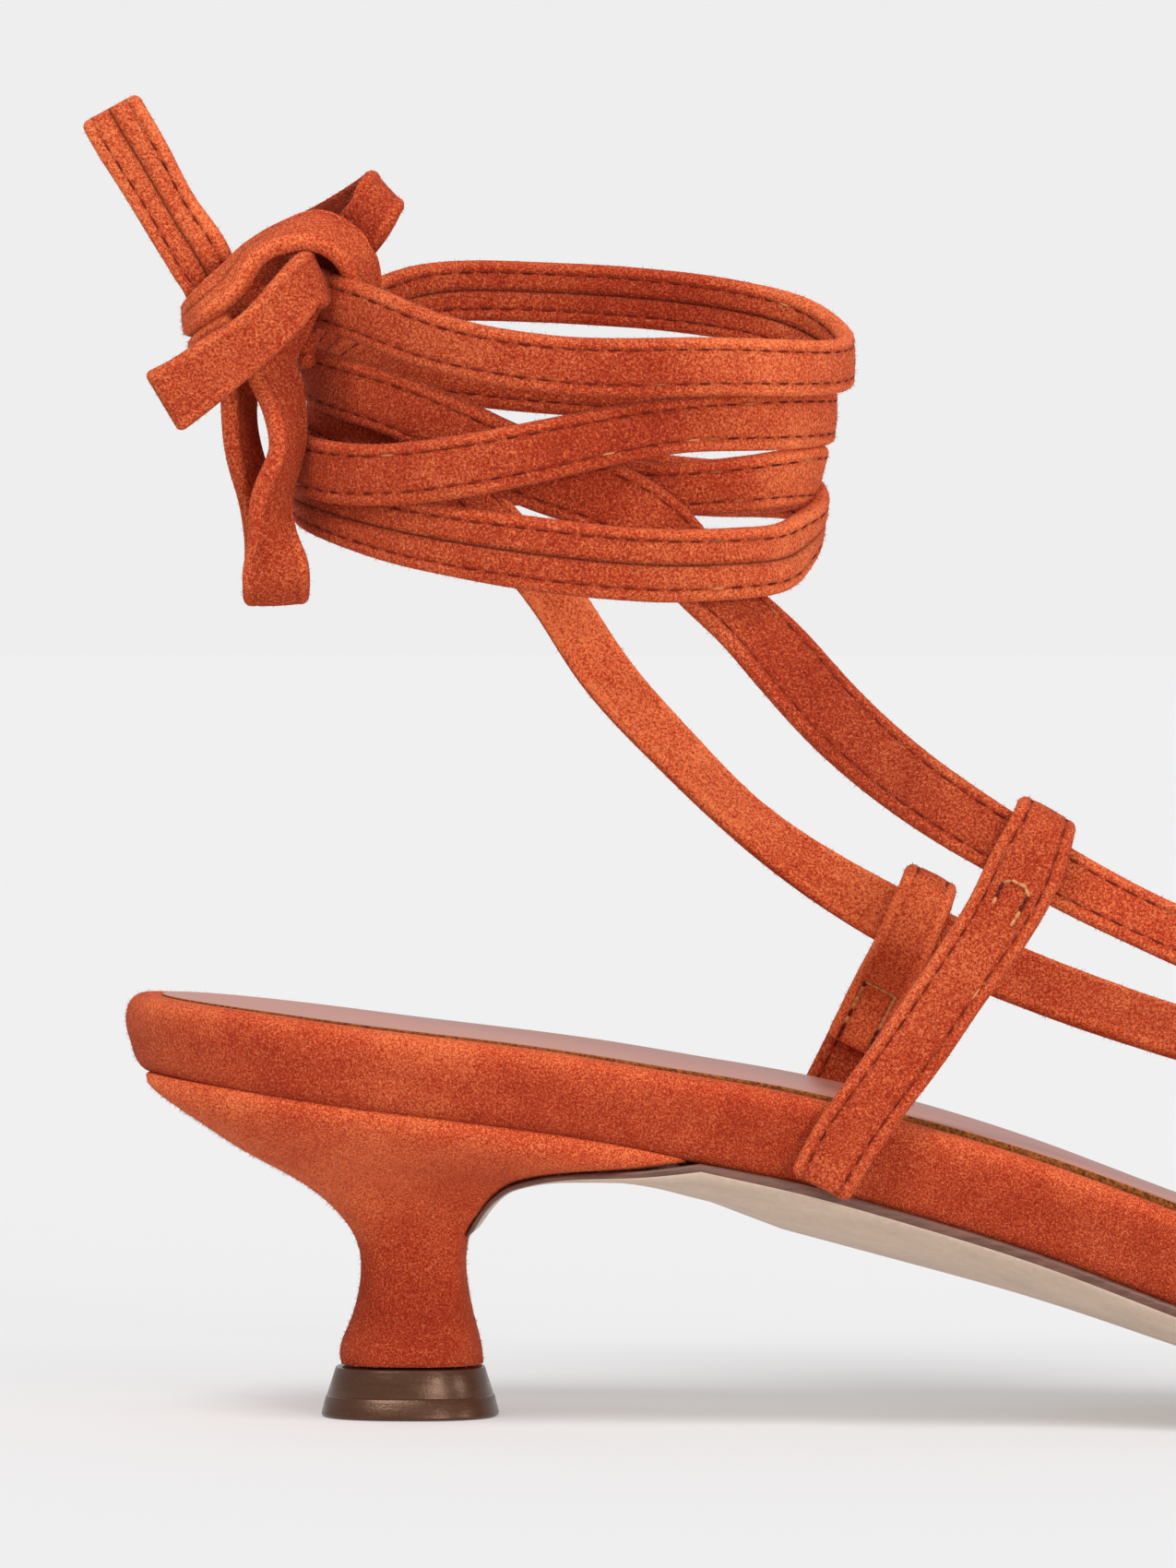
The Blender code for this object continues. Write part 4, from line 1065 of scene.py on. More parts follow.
def lay_strap(mesh_data, line, thick, pitch, seed, seams=(0, 0), sewn=(1, 1), shade=(0, 0)):
    """A stitched strap: a grid laid along its line and closed round its section.

    For each face, seams say how open the butt seam is, sewn how deep the stitched rows are,
    and shade how much light or shade is painted on it.
    """
    seams, sewn, shade = [[part + 0 * line.along for part in pair] for pair in (seams, sewn, shade)]
    over, height, groove, nap = section(line, thick, pitch, seams, sewn, shade)
    steps, around = over.shape[0] - 1, over.shape[1] - 1
    # The groove attribute carries painted shade in seams and stitched rows, the nap attribute painted light
    # and shade
    floats = mesh_data.verts.layers.float
    floats.get("groove") or floats.new("groove")
    floats.get("nap") or floats.new("nap")
    groove_shade_layer, painted_light_layer = floats["groove"], floats["nap"]
    made = bmesh.ops.create_grid(mesh_data, x_segments=steps, y_segments=around, size=0.5)
    puff = np.array([waver(s, seed, 0.0, UNEVEN_WIDTH[1]) for s in line.along])
    thin = np.array([waver(s, seed + UNEVEN_SEED, 0.0, UNEVEN_THICK[1]) for s in line.along])
    fullness = end_round(line, END_ROUND)
    shrink = 1 - (1 - fullness) * END_ROUND * END_NARROW / np.abs(over).max(axis=1)
    over = over * (1 + UNEVEN_WIDTH[0] * puff[:, None]) * shrink[:, None]
    height = height * (1 + UNEVEN_THICK[0] * thin[:, None]) * np.maximum(fullness, END_THIN)[:, None]
    spots = line.centre[:, None] + line.side[:, None] * over[..., None]
    spots = spots + line.face[:, None] * height[..., None]
    for vert in made["verts"]:
        i = int(round((vert.co.x + 0.5) * steps))
        j = int(round((vert.co.y + 0.5) * around))
        vert.co = place(spots[i, j])
        vert[groove_shade_layer] = groove[i, j]
        vert[painted_light_layer] = nap[i, j]
    bmesh.ops.remove_doubles(mesh_data, verts=made["verts"], dist=1e-6)
    open_ends = [e for e in mesh_data.edges if e.is_boundary]
    bmesh.ops.holes_fill(mesh_data, edges=open_ends, sides=0)
    return spots


def stitch_places(line, sizes, thick, sewn=(1.0, 1.0)):
    """Where each stitch of a strap's edge rows lies, as matrices in metres."""
    pitch = sizes.stitch_pitch / MM
    sewn = [thread + 0 * line.along for thread in sewn]
    places = []
    for at in np.arange(ROW_END + pitch / 2, line.along[-1] - ROW_END, pitch):
        half = np.interp(at, line.along, line.width) / 2
        reach = half - STITCH_EDGE * min(half / STRAP_HALF, 1.0)
        for up, thread in zip((1, -1), sewn):
            if np.interp(at, line.along, thread) > SEWN_LEAST:
                rise = up * thick / 2 * STITCH_RISE
                for edge in (reach, -reach):
                    places.append(stitch_on(line, (at, edge), (at + STITCH_AHEAD, edge), rise))
    return places


def box_places(line, corners, thick):
    """Small close stitches along a path on a strap's outer face, its corners as along and across."""
    corners = np.array(corners, float)
    lengths = lengths_along(corners)
    places = []
    for at in np.arange(BOX_PITCH / 2, lengths[-1], BOX_PITCH):
        pair = [[np.interp(s, lengths, values) for values in corners.T] for s in (at, at + BOX_AHEAD)]
        places.append(stitch_on(line, *pair, thick / 2 * BOX_RISE))
    return places


def stitch_on(line, at, ahead, rise):
    """A stitch on a strap's face, turned toward a place just ahead; places are along and across."""
    spots = []
    for s, w in (at, ahead):
        parts = [np.array([np.interp(s, line.along, values) for values in part.T]) for part in line[:3]]
        centre, side, face = parts
        spots.append(centre + side * w + face * rise)
    return stitch_matrix(spots[0], spots[1] - spots[0], face * math.copysign(1.0, rise))


def stitch_matrix(point, run, up):
    """A stitch's own frame: X along the thread, Z out of the leather."""
    x = Vector(run).normalized()
    z = Vector(up)
    z = (z - x * z.dot(x)).normalized()
    y = z.cross(x)
    turn = Matrix((x, y, z)).transposed().to_4x4()
    return Matrix.Translation(place(point)) @ turn


def repeated(name, mesh_data, count):
    """A mesh with one shape many times over, and the shape's points; all copies keep their order."""
    data = bpy.data.meshes.new(name)
    mesh_data.to_mesh(data)
    mesh_data.clear()
    mesh_data.from_mesh(data)
    shape = np.array([vert.co[:] for vert in mesh_data.verts])
    counts = [len(mesh_data.verts), len(mesh_data.edges), len(mesh_data.faces)]
    made = 1
    while made < count:
        take = min(made, count - made)
        groups = (mesh_data.verts, mesh_data.edges, mesh_data.faces)
        for group in groups:
            group.ensure_lookup_table()
        geometry = [item for group, size in zip(groups, counts) for item in group[:size * take]]
        bmesh.ops.duplicate(mesh_data, geom=geometry)
        made += take
    mesh_data.to_mesh(data)
    mesh_data.free()
    return data, shape


def sew(name, places, length, radius, thread, seed):
    """All the stitches of one kind as one piece of short rounded threads."""
    bm = bmesh.new()
    lying = Matrix.Rotation(math.pi / 2, 4, "Y")
    bmesh.ops.create_uvsphere(bm, u_segments=6, v_segments=4, radius=1.0, matrix=lying)
    data, shape = repeated(name, bm, len(places))
    size = np.array((length / 2, radius, radius))
    rng = random.Random(seed)
    spots = []
    tones = []
    for matrix in places:
        scale = size * [rng.uniform(*spread) for spread in STITCH_SPREAD]
        spots.append((shape * scale) @ np.array(matrix.to_3x3()).T + np.array(matrix.translation))
        tones += [rng.random()] * len(shape)
    data.vertices.foreach_set("co", np.concatenate(spots).ravel())
    data.attributes.new("tone", "FLOAT", "POINT").data.foreach_set("value", tones)
    data.update()
    return dressed(name, data, [thread], ())


def sew_rows(name, places, context, seed):
    """The stitches of the straps' edge rows as one piece."""
    sizes = context.scene.sandal_sizes
    return sew(name, places, sizes.stitch_length, sizes.thread_radius, row_thread(context), seed)


def fuzz(name, grids, context, seed):
    """Loose nap fibres all over suede surfaces, each surface given as a grid of points."""
    rng = np.random.default_rng(seed)
    sizes = context.scene.sandal_sizes
    roots, outs = [], []
    for grid in grids:
        along = np.diff(grid, axis=0)[:, :-1]
        over = np.diff(grid, axis=1)[:-1]
        square = np.cross(along, over)
        area = np.linalg.norm(square, axis=2)
        out = square / np.maximum(area, 1e-9)[..., None]
        count = int(area.sum() * NAP_DENSITY)
        cells = np.searchsorted(np.cumsum(area.ravel()) / area.sum(), rng.random(count))
        row, col = np.unravel_index(np.minimum(cells, area.size - 1), area.shape)
        shares = rng.random((2, count, 1))
        roots.append(grid[row, col] + along[row, col] * shares[0] + over[row, col] * shares[1])
        outs.append(out[row, col])
    roots, outs = np.concatenate(roots), np.concatenate(outs)
    lean = unit(outs * NAP_RISE + rng.normal(size=roots.shape) * NAP_STRAY + NAP_LAY)
    facing = np.sum(lean * outs, axis=1, keepdims=True)
    lean = unit(lean + outs * np.maximum(NAP_FLATTEST - facing, 0.0))
    first = unit(np.cross(lean, np.roll(lean, 1, axis=1) + NAP_ASIDE))
    second = np.cross(lean, first)
    bm = bmesh.new()
    bmesh.ops.create_cone(bm, cap_ends=True, cap_tris=True, segments=3, radius1=1.0, radius2=0.0, depth=1.0)
    data, shape = repeated(name, bm, len(roots))
    length = sizes.nap_length / MM * rng.uniform(*NAP_LENGTHS, (len(roots), 1))
    thick = sizes.nap_thick / MM / 2 * rng.uniform(*NAP_THICKS, (len(roots), 1))
    spots = np.empty((len(roots), len(shape), 3))
    for k, (x, y, z) in enumerate(shape):
        spots[:, k] = roots + first * thick * x + second * thick * y + lean * length * (z + NAP_ROOT)
    spots = (spots - (ORIGIN_X, 0.0, 0.0)) * MM
    data.vertices.foreach_set("co", spots.ravel())
    tones = rng.choice(len(NAP_TONES), len(roots), p=NAP_SHARES)
    tones = np.repeat(tones, len(data.polygons) // len(roots))
    data.polygons.foreach_set("material_index", tones)
    data.update()
    colours = context.scene.sandal_colours
    materials = []
    for tone in NAP_TONES:
        materials.append(material_of(nap_material, "nap_" + tone, getattr(colours, tone)))
    return dressed(name, data, materials, ())


def add_node(tree, kind, settings=None, **inputs):
    """A shader node with its settings and its plain or linked inputs."""
    node = tree.nodes.new("ShaderNode" + kind)
    for key, value in (settings or {}).items():
        setattr(node, key, value)
    for key, value in inputs.items():
        socket = node.inputs[int(key[1:])] if key[0] == "i" and key[1:].isdigit() else node.inputs[key]
        if isinstance(value, bpy.types.NodeSocket):
            tree.links.new(value, socket)
        else:
            socket.default_value = value
    return node


def blank_material(name, roughness, specular):
    """A material with its tree, shader and object coordinates."""
    material = bpy.data.materials.new(name)
    material.use_nodes = True
    tree = material.node_tree
    shader = tree.nodes["Principled BSDF"]
    shader.inputs["Roughness"].default_value = roughness
    shader.inputs["Specular IOR Level"].default_value = specular
    spots = add_node(tree, "TexCoord").outputs["Object"]
    return material, tree, shader, spots


def speckle(tree, spots, size, detail=2.0, rough=0.55, stretch=None):
    """Seeded cloudy noise with tufts about size metres wide, from 0 to 1."""
    if stretch is not None:
        mapping = add_node(tree, "Mapping", Vector=spots, Scale=stretch)
        spots = mapping.outputs["Vector"]
    node = add_node(tree, "TexNoise", Vector=spots, Scale=1 / size, Detail=detail, Roughness=rough)
    return node.outputs["Fac"]


def summed(tree, *terms):
    """Weighted sum of values: (socket, weight) pairs."""
    total = None
    for socket, weight in terms:
        settings = {"operation": "MULTIPLY" if total is None else "MULTIPLY_ADD"}
        inputs = {"i0": socket, "i1": weight}
        if total is not None:
            inputs["i2"] = total
        total = add_node(tree, "Math", settings, **inputs).outputs[0]
    return total


def ramped(tree, factor, *stops):
    """A colour ramp through (place, colour) stops."""
    node = add_node(tree, "ValToRGB", Fac=factor)
    elements = node.color_ramp.elements
    while len(elements) < len(stops):
        elements.new(0.5)
    for element, (at, colour) in zip(elements, stops):
        element.position = at
        element.color = colour
    return node.outputs["Color"]


def blended(tree, factor, under, over):
    """One colour over another by a factor."""
    node = add_node(tree, "Mix", {"data_type": "RGBA"}, i0=factor, i6=under, i7=over)
    return node.outputs[2]


def raised(tree, shader, height, distance, strength=1.0):
    """Bump on a shader, the height's full range being a distance in metres."""
    node = add_node(tree, "Bump", Height=height, Distance=distance, Strength=strength)
    tree.links.new(node.outputs["Normal"], shader.inputs["Normal"])


def shaded(colour, share):
    """A colour made darker or lighter by a share."""
    return tuple(min(c * share, 1.0) for c in colour[:3]) + (1.0,)


def toned(tree, shader, tone, colour, deep, pale):
    """Base colour from a darker to a lighter shade by a tone."""
    stops = ((0.35, shaded(colour, deep)), (0.65, shaded(colour, pale)))
    tree.links.new(ramped(tree, tone, *stops), shader.inputs["Base Color"])


def glossed(tree, shader, value, least, most):
    """Roughness between two limits by a value."""
    rough = add_node(tree, "MapRange", Value=value, i3=least, i4=most)
    tree.links.new(rough.outputs["Result"], shader.inputs["Roughness"])


def suede_material(name, colours, grain, depth):
    """Suede: tufted nap, cloudy tone, a soft sheen, painted light and shade from the nap attribute and
    painted shade in the seam grooves.
    """
    material, tree, shader, spots = blank_material(name, roughness=0.9, specular=0.15)
    tufts = speckle(tree, spots, grain, detail=3.0, rough=0.65)
    fibres = speckle(tree, spots, grain * 0.4, detail=2.0, rough=0.6)
    patches = speckle(tree, spots, 0.004, detail=3.0, rough=0.6)
    clouds = speckle(tree, spots, 0.02, detail=2.0, rough=0.5)
    # The nap attribute is painted light and shade: it shifts the tone a little and scales the colour's
    # brightness
    nap = add_node(tree, "Attribute", {"attribute_name": "nap"}).outputs["Fac"]
    tone = summed(tree, (tufts, 0.46), (fibres, 0.32), (patches, 0.08), (clouds, 0.14), (nap, 0.02))
    colour = ramped(
        tree, tone, (0.4, colours.suede_dark), (0.5, colours.suede), (0.6, colours.suede_light))
    painted_light_gain = add_node(tree, "Math", {"operation": "MULTIPLY_ADD"}, i0=nap, i1=0.16, i2=1.0)
    colour = add_node(tree, "VectorMath", {"operation": "SCALE"}, i0=colour, Scale=painted_light_gain.outputs[0])
    # Painted shade: the seam colour laid into the grooves
    groove = add_node(tree, "Attribute", {"attribute_name": "groove"}).outputs["Fac"]
    painted_seam_shade = add_node(tree, "Math", {"operation": "MULTIPLY", "use_clamp": True}, i0=groove, i1=0.8)
    colour = blended(tree, painted_seam_shade.outputs[0], colour.outputs[0], colours.seam)
    tree.links.new(colour, shader.inputs["Base Color"])
    shader.inputs["Sheen Weight"].default_value = 0.25
    shader.inputs["Sheen Roughness"].default_value = 0.45
    shader.inputs["Sheen Tint"].default_value = colours.suede_light
    raised(tree, shader, summed(tree, (tufts, 0.7), (fibres, 0.3)), depth)
    return material


def nap_material(name, colour):
    """One tone of the loose fibres, too thin to show any pattern."""
    material, _, shader, _ = blank_material(name, roughness=0.9, specular=0.1)
    shader.inputs["Base Color"].default_value = colour
    shader.inputs["Sheen Weight"].default_value = 0.3
    return material


def thread_material(name, roughness, specular, stops):
    """Sewing thread, coloured by each stitch's own tone."""
    material, tree, shader, _ = blank_material(name, roughness, specular)
    tone = add_node(tree, "Attribute", {"attribute_name": "tone"}).outputs["Fac"]
    tree.links.new(ramped(tree, tone, *stops), shader.inputs["Base Color"])
    return material


def row_thread(context):
    """Thread of the edge rows: mostly dark, its own colour deepened by painted shade, and a painted glint on
    a few stitches.
    """
    colours = context.scene.sandal_colours
    dark, usual, light = colours.seam, colours.thread, colours.thread_painted_glint
    stops = ((0.0, dark), (0.6, usual), (0.94, usual), (1.0, light))
    return material_of(thread_material, "thread", 0.75, 0.12, stops)


def box_thread(context):
    """Thread of the keepers' boxes: about half the stitches dark with painted shade, the rest lighter toward
    a painted glint.
    """
    colours = context.scene.sandal_colours
    stops = ((0.0, colours.seam), (0.5, colours.seam), (0.65, colours.thread_painted_glint))
    return material_of(thread_material, "box_thread", 0.65, 0.2, stops)


def sock_material(colours):
    """Smooth rose brown leather with fine pores and a satin film."""
    material, tree, shader, spots = blank_material("sock_leather", roughness=0.45, specular=0.35)
    pores = speckle(tree, spots, 0.0007, detail=3.0, rough=0.6)
    clouds = speckle(tree, spots, 0.018, detail=3.0, rough=0.5)
    tone = summed(tree, (pores, 0.4), (clouds, 0.6))
    toned(tree, shader, tone, colours.sock, deep=0.84, pale=1.1)
    glossed(tree, shader, clouds, least=0.34, most=0.52)
    raised(tree, shader, pores, distance=0.00005)
    return material


def raw_edge_material(colours):
    """The sock's cut edge: loose golden brown fibres."""
    material, tree, shader, spots = blank_material("raw_edge", roughness=0.95, specular=0.1)
    fibres = speckle(tree, spots, 0.0004, detail=4.0, rough=0.7)
    deep, pale = shaded(colours.raw_edge, 0.3), shaded(colours.raw_edge, 1.7)
    colour = ramped(tree, fibres, (0.36, deep), (0.5, colours.raw_edge), (0.66, pale))
    tree.links.new(colour, shader.inputs["Base Color"])
    raised(tree, shader, fibres, distance=0.0004)
    return material


def sole_material(colours):
    """Pale sole leather: fine grain, faint long streaks and a satin film."""
    material, tree, shader, spots = blank_material("sole_leather", roughness=0.5, specular=0.4)
    grain = speckle(tree, spots, 0.0009, detail=4.0, rough=0.6)
    streaks = speckle(tree, spots, 0.004, detail=3.0, rough=0.6, stretch=(0.25, 1.0, 1.0))
    tone = summed(tree, (grain, 0.45), (streaks, 0.55))
    toned(tree, shader, tone, colours.sole, deep=0.86, pale=1.07)
    raised(tree, shader, grain, distance=0.00006)
    return material


def sole_edge_material(colours):
    """The sole's painted and waxed edge."""
    material, tree, shader, spots = blank_material("sole_edge", roughness=0.42, specular=0.45)
    layers = speckle(tree, spots, 0.0012, detail=3.0, rough=0.6, stretch=(0.2, 1.0, 1.6))
    toned(tree, shader, layers, colours.sole_edge, deep=0.7, pale=1.25)
    raised(tree, shader, layers, distance=0.00008)
    return material


def tip_material(colours):
    """Brown heel tip rubber with fine trimming marks round it."""
    material, tree, shader, spots = blank_material("tip_rubber", roughness=0.35, specular=0.85)
    shader.inputs["Specular Tint"].default_value = (1.0, 0.62, 0.45, 1.0)
    marks = speckle(tree, spots, 0.0012, detail=3.0, rough=0.65, stretch=(0.3, 0.3, 2.0))
    grain = speckle(tree, spots, 0.0004, detail=2.0, rough=0.5)
    tone = summed(tree, (marks, 0.6), (grain, 0.4))
    toned(tree, shader, tone, colours.tip, deep=0.78, pale=1.2)
    glossed(tree, shader, marks, least=0.22, most=0.4)
    raised(tree, shader, tone, distance=0.00006)
    return material


def material_of(make, name, *args):
    """A material made once and then shared."""
    return bpy.data.materials.get(name) or make(name, *args)


def cover_suede(context):
    """Fine suede of the footbed and the heel."""
    grain = context.scene.sandal_sizes.nap_grain * COVER_GRAIN
    return material_of(suede_material, "cover_suede", context.scene.sandal_colours, grain, COVER_DEPTH)


def tie_suede(context):
    """Coarser suede of the straps."""
    grain = context.scene.sandal_sizes.nap_grain
    return material_of(suede_material, "tie_suede_nap", context.scene.sandal_colours, grain, TIE_DEPTH)


class SANDAL_OT_footbed(bpy.types.Operator):
    """Suede covered platform with a soft rolled edge"""
    bl_idname = "sandal.footbed"
    bl_label = "Footbed"

    def execute(self, context):
        base = plan_loop()
        walls, rises = [], []
        for inset, height in resampled([(i, r * WALL_HEIGHT) for i, r in WALL_ROWS], WALL_STEPS):
            rise = height / WALL_HEIGHT
            swell = math.sin(math.pi * min(max(rise, 0.0), 1.0))
            points = []
            for x, y in inset_loop(base, inset, SOLE_REACH):
                low = underside(x, y)
                z = low + rise * (topside(x, y) - low)
                lean = BACK_LEAN * max(1 - x / BACK_LEAN_LENGTH, 0.0) ** 2 * swell
                points.append((
                    x - lean,
                    y + UNEVEN_SIDE[0] * waver(x, y, z, UNEVEN_SIDE[1]),
                    z + UNEVEN_TOP[0] * waver(x, y, z, UNEVEN_TOP[1]),
                ))
            walls.append(points)
            rises.append(rise)
        bm = bmesh.new()
        nap = bm.verts.layers.float.new("nap")
        rings = stacked(bm, walls)
        # Each ring's painted light and shade by its height: darker low on the wall, lighter at its top edge
        for ring, rise in zip(rings, rises):
            for vert in ring:
                vert[nap] = np.interp(rise, FOOTBED_PAINTED_LIGHT_AT, FOOTBED_PAINTED_LIGHT)
        ladder(bm, rings[-1])
        ladder(bm, rings[0])
        finished("footbed_suede", bm, [cover_suede(context)], ["footbed"])
        fuzz("footbed_nap", [wrapped(walls)[FOOTBED_NAP_ROWS]], context, seed=101)
        return {"FINISHED"}


class SANDAL_OT_insole(bpy.types.Operator):
    """Thin leather sock with a raw cut edge"""
    bl_idname = "sandal.insole"
    bl_label = "Insole"

    def execute(self, context):
        colours = context.scene.sandal_colours
        base = plan_loop()
        thick = table_spline(SOCK_THICK_ROWS, SOCK_THICK_COLUMNS, "thick")
        sections = []
        for inset, over, raw in SOCK_ROWS:
            points = []
            for x, y in inset_loop(base, inset, SOLE_REACH):
                fray = FRAY * waver(x, y, over * FRAY_LAYERS, FRAY_LENGTH) if raw else 0.0
                points.append((x, y + math.copysign(fray, y), topside(x, y) + over * thick(x)))
            sections.append(points)
        bm = bmesh.new()
        rings = stacked(bm, sections, [row[-1] for row in SOCK_ROWS])
        ladder(bm, rings[-1])
        ladder(bm, rings[0], 1)
        materials = [sock_material(colours), raw_edge_material(colours)]
        finished("insole_sock", bm, materials, ["insole"], sharp=50.0)
        return {"FINISHED"}


def outsole_line():
    """Side view of the outsole's upper face, tongue to toe: x, z, both half widths."""
    rows = [(x, z, -w, w) for x, z, w in resampled(TONGUE_ROWS, TONGUE_STEPS)]
    shrink = (LENGTH - OUTSOLE_INSET) / LENGTH
    for along in stations():
        x = along * shrink
        if x < OUTSOLE_JOIN:
            continue
        low = middle(along) - max(half_width(along, -1) - OUTSOLE_INSET, 0.0)
        high = middle(along) + max(half_width(along, 1) - OUTSOLE_INSET, 0.0)
        rows.append((x, EDGE(x) - GAP, low, high))
    return rows


class SANDAL_OT_outsole(bpy.types.Operator):
    """Leather sole with a dark edge, cut flat and then laid along its side view"""
    bl_idname = "sandal.outsole"
    bl_label = "Outsole"

    def execute(self, context):
        colours = context.scene.sandal_colours
        line = np.array(outsole_line())
        lengths = lengths_along(line[:, :2])
        curve_x, curve_z = [spline(lengths, values) for values in line[:, :2].T]

        def laid(s, y, depth):
            """A place on the flat sole, carried to the side view and down by a depth."""
            x = curve_x(s)
            depth *= np.interp(x, TONGUE_THICK_AT, TONGUE_THICK_SHARE)
            run = Vector([curve(s + SLOPE_REACH) - curve(s - SLOPE_REACH) for curve in (curve_x, curve_z)])
            run.normalize()
            drop = sag(x, y) * min(max((x - SAG_FROM) / SAG_OVER, 0.0), 1.0)
            return (x + run.y * depth, y, max(curve_z(s) - run.x * depth - drop, 0.0))

        medial = list(zip(lengths, line[:, 2]))
        lateral = list(zip(lengths[:-1], line[:-1, 3]))
        base = medial + lateral[::-1]
        tongue = np.interp(curve_x(np.array([s for s, _ in base])), TONGUE_EDGE_AT, (1.0, 0.0))
        sections = []
        for inset, depth, tongue_inset, tongue_depth, _ in OUTSOLE_EDGE_ROWS:
            insets = inset + (tongue_inset - inset) * tongue
            depths = depth + (tongue_depth - depth) * tongue
            plan = inset_loop(base, insets, SOLE_REACH)
            sections.append([laid(s, y, deep) for (s, y), deep in zip(plan, depths)])
        bm = bmesh.new()
        rings = stacked(bm, sections, [row[-1] for row in OUTSOLE_EDGE_ROWS])
        self.fill(bm, rings[0], rings[-1])
        materials = [sole_material(colours), sole_edge_material(colours)]
        finished("outsole_leather", bm, materials, ["outsole"])
        return {"FINISHED"}

    def fill(self, mesh_data, *rings):
        """Close both faces of the sole and let their middles down to the belly."""
        rungs = []
        for ring in rings:
            half = (len(ring) + 1) // 2
            _, edges = bridged(mesh_data, ring, set(ring[:half - 1]), set(ring[half:]))
            rungs += edges
        cut = bmesh.ops.subdivide_edges(mesh_data, edges=rungs, cuts=SOLE_CUTS, use_grid_fill=True)
        for vert in {item for item in cut["geom_inner"] if isinstance(item, bmesh.types.BMVert)}:
            x = vert.co.x / MM + ORIGIN_X
            hang = belly(x, across(x, vert.co.y / MM))
            vert.co.z = max(vert.co.z - hang * MM, 0.0)


class SANDAL_OT_heel(bpy.types.Operator):
    """Sculpted heel under suede, from the tip up to the footbed"""
    bl_idname = "sandal.heel"
    bl_label = "Heel"

    def execute(self, context):
        walls = [self.wall(row) for row in resampled(HEEL_ROWS, HEEL_STEPS)[:-1]]
        brim = [point[:2] for point in self.wall(HEEL_ROWS[-1])]
        tops = []
        for inset, over in HEEL_TOP_ROWS:
            plan = inset_loop(brim, inset)
            tops.append([(x, y, underside(x, y) + over * crease(x)) for x, y in plan])
        bm = bmesh.new()
        nap = bm.verts.layers.float.new("nap")
        rings = stacked(bm, walls + tops)
        ladder(bm, rings[0])
        ladder(bm, rings[-1])
        # Painted light and shade by height: painted shade low on the heel, painted light on the flare under
        # the footbed
        for vert in bm.verts:
            vert[nap] = np.interp(vert.co.z / MM, HEEL_PAINTED_LIGHT_HEIGHTS, HEEL_PAINTED_LIGHT)
        finished("heel_suede", bm, [cover_suede(context)], ["heel"])
        fuzz("heel_nap", [wrapped(walls)], context, seed=103)
        return {"FINISHED"}

    def wall(self, row):
        """One slice of the heel, round behind and flat at the breast."""
        back_x, back_z, front_x, front_z, width, power = row
        front_power = np.interp(front_z, BREAST_HEIGHTS, BREAST_POWERS)
        points = []
        for u, v in even_ring(power, front_power, HEEL_SEGMENTS):
            x = (back_x + front_x) / 2 + u * (front_x - back_x) / 2
            limit = half_width(x, v) - HEEL_WALL_INSET
            y = math.copysign(eased(width * abs(v), max(limit, LEAST_WIDTH)), v)
            z = back_z + (front_z - back_z) * (x - back_x) / (front_x - back_x)
            points.append((x, y, min(z, underside(x, y) - crease(x))))
        return points


class SANDAL_OT_heel_tip(bpy.types.Operator):
    """Heel tip in two lifts"""
    bl_idname = "sandal.heel_tip"
    bl_label = "Heel tip"

    def execute(self, context):
        corners = [rounded(2 * math.pi * i / TIP_SEGMENTS, TIP_POWER) for i in range(TIP_SEGMENTS)]
        sections = []
        for z, length, width in TIP_ROWS:
            sections.append([(TIP_CENTRE_X + u * length, v * width, z) for u, v in corners])
        bm = bmesh.new()
        rings = stacked(bm, sections)
        for ring in (rings[0], rings[-1]):
            bmesh.ops.contextual_create(bm, geom=ring_edges(ring))
        material = tip_material(context.scene.sandal_colours)
        finished("heel_tip", bm, [material], ["top_piece"], sharp=35.0)
        return {"FINISHED"}


class SANDAL_OT_keepers(bpy.types.Operator):
    """Both keepers: straps folded over the tie, with their stitching"""
    bl_idname = "sandal.keepers"
    bl_label = "Keepers"

    def execute(self, context):
        sizes = context.scene.sandal_sizes
        pitch = sizes.stitch_pitch / MM
        places, boxes, walls = [], [], []
        for side, rows, axis in (
            ("medial", KEEPER_MEDIAL_ROWS, KEEPER_MEDIAL_AXIS),
            ("lateral", KEEPER_LATERAL_ROWS, KEEPER_LATERAL_AXIS),
        ):
            line = strap_line(rows, KEEPER_STEP, axis)
            start = fold = line.along[np.argmax(line.centre[:, 2])]
            sewn, shade = (1.0, 1.0), (0.0, 0.0)
            # The lateral keeper's folded end is plain and painted lighter
            if side == "lateral":
                start = line.along[-1]
                folded = np.clip((line.along - fold) / FOLD_BLEND, 0.0, 1.0)
                sewn, shade = (1 - FOLD_PLAIN * folded, 1.0), (FOLD_PAINTED_LIGHT * folded, 0.0)
            bm = bmesh.new()
            walls.append(lay_strap(
                bm, line, KEEPER_THICK, pitch, KEEPER_SEEDS[side], sewn=sewn, shade=shade))
            finished("keeper_%s_suede" % side, bm, [tie_suede(context)], ["keeper_" + side])
            places += stitch_places(line, sizes, KEEPER_THICK, sewn)
            boxes += box_places(line, [(start + at, over) for at, over in KEEPER_BOX[side]], KEEPER_THICK)
        sew_rows("keeper_stitching", places, context, seed=11)
        sew("keeper_box_stitching", boxes, BOX_LENGTH, BOX_RADIUS, box_thread(context), seed=13)
        fuzz("keeper_nap", walls, context, seed=105)
        return {"FINISHED"}


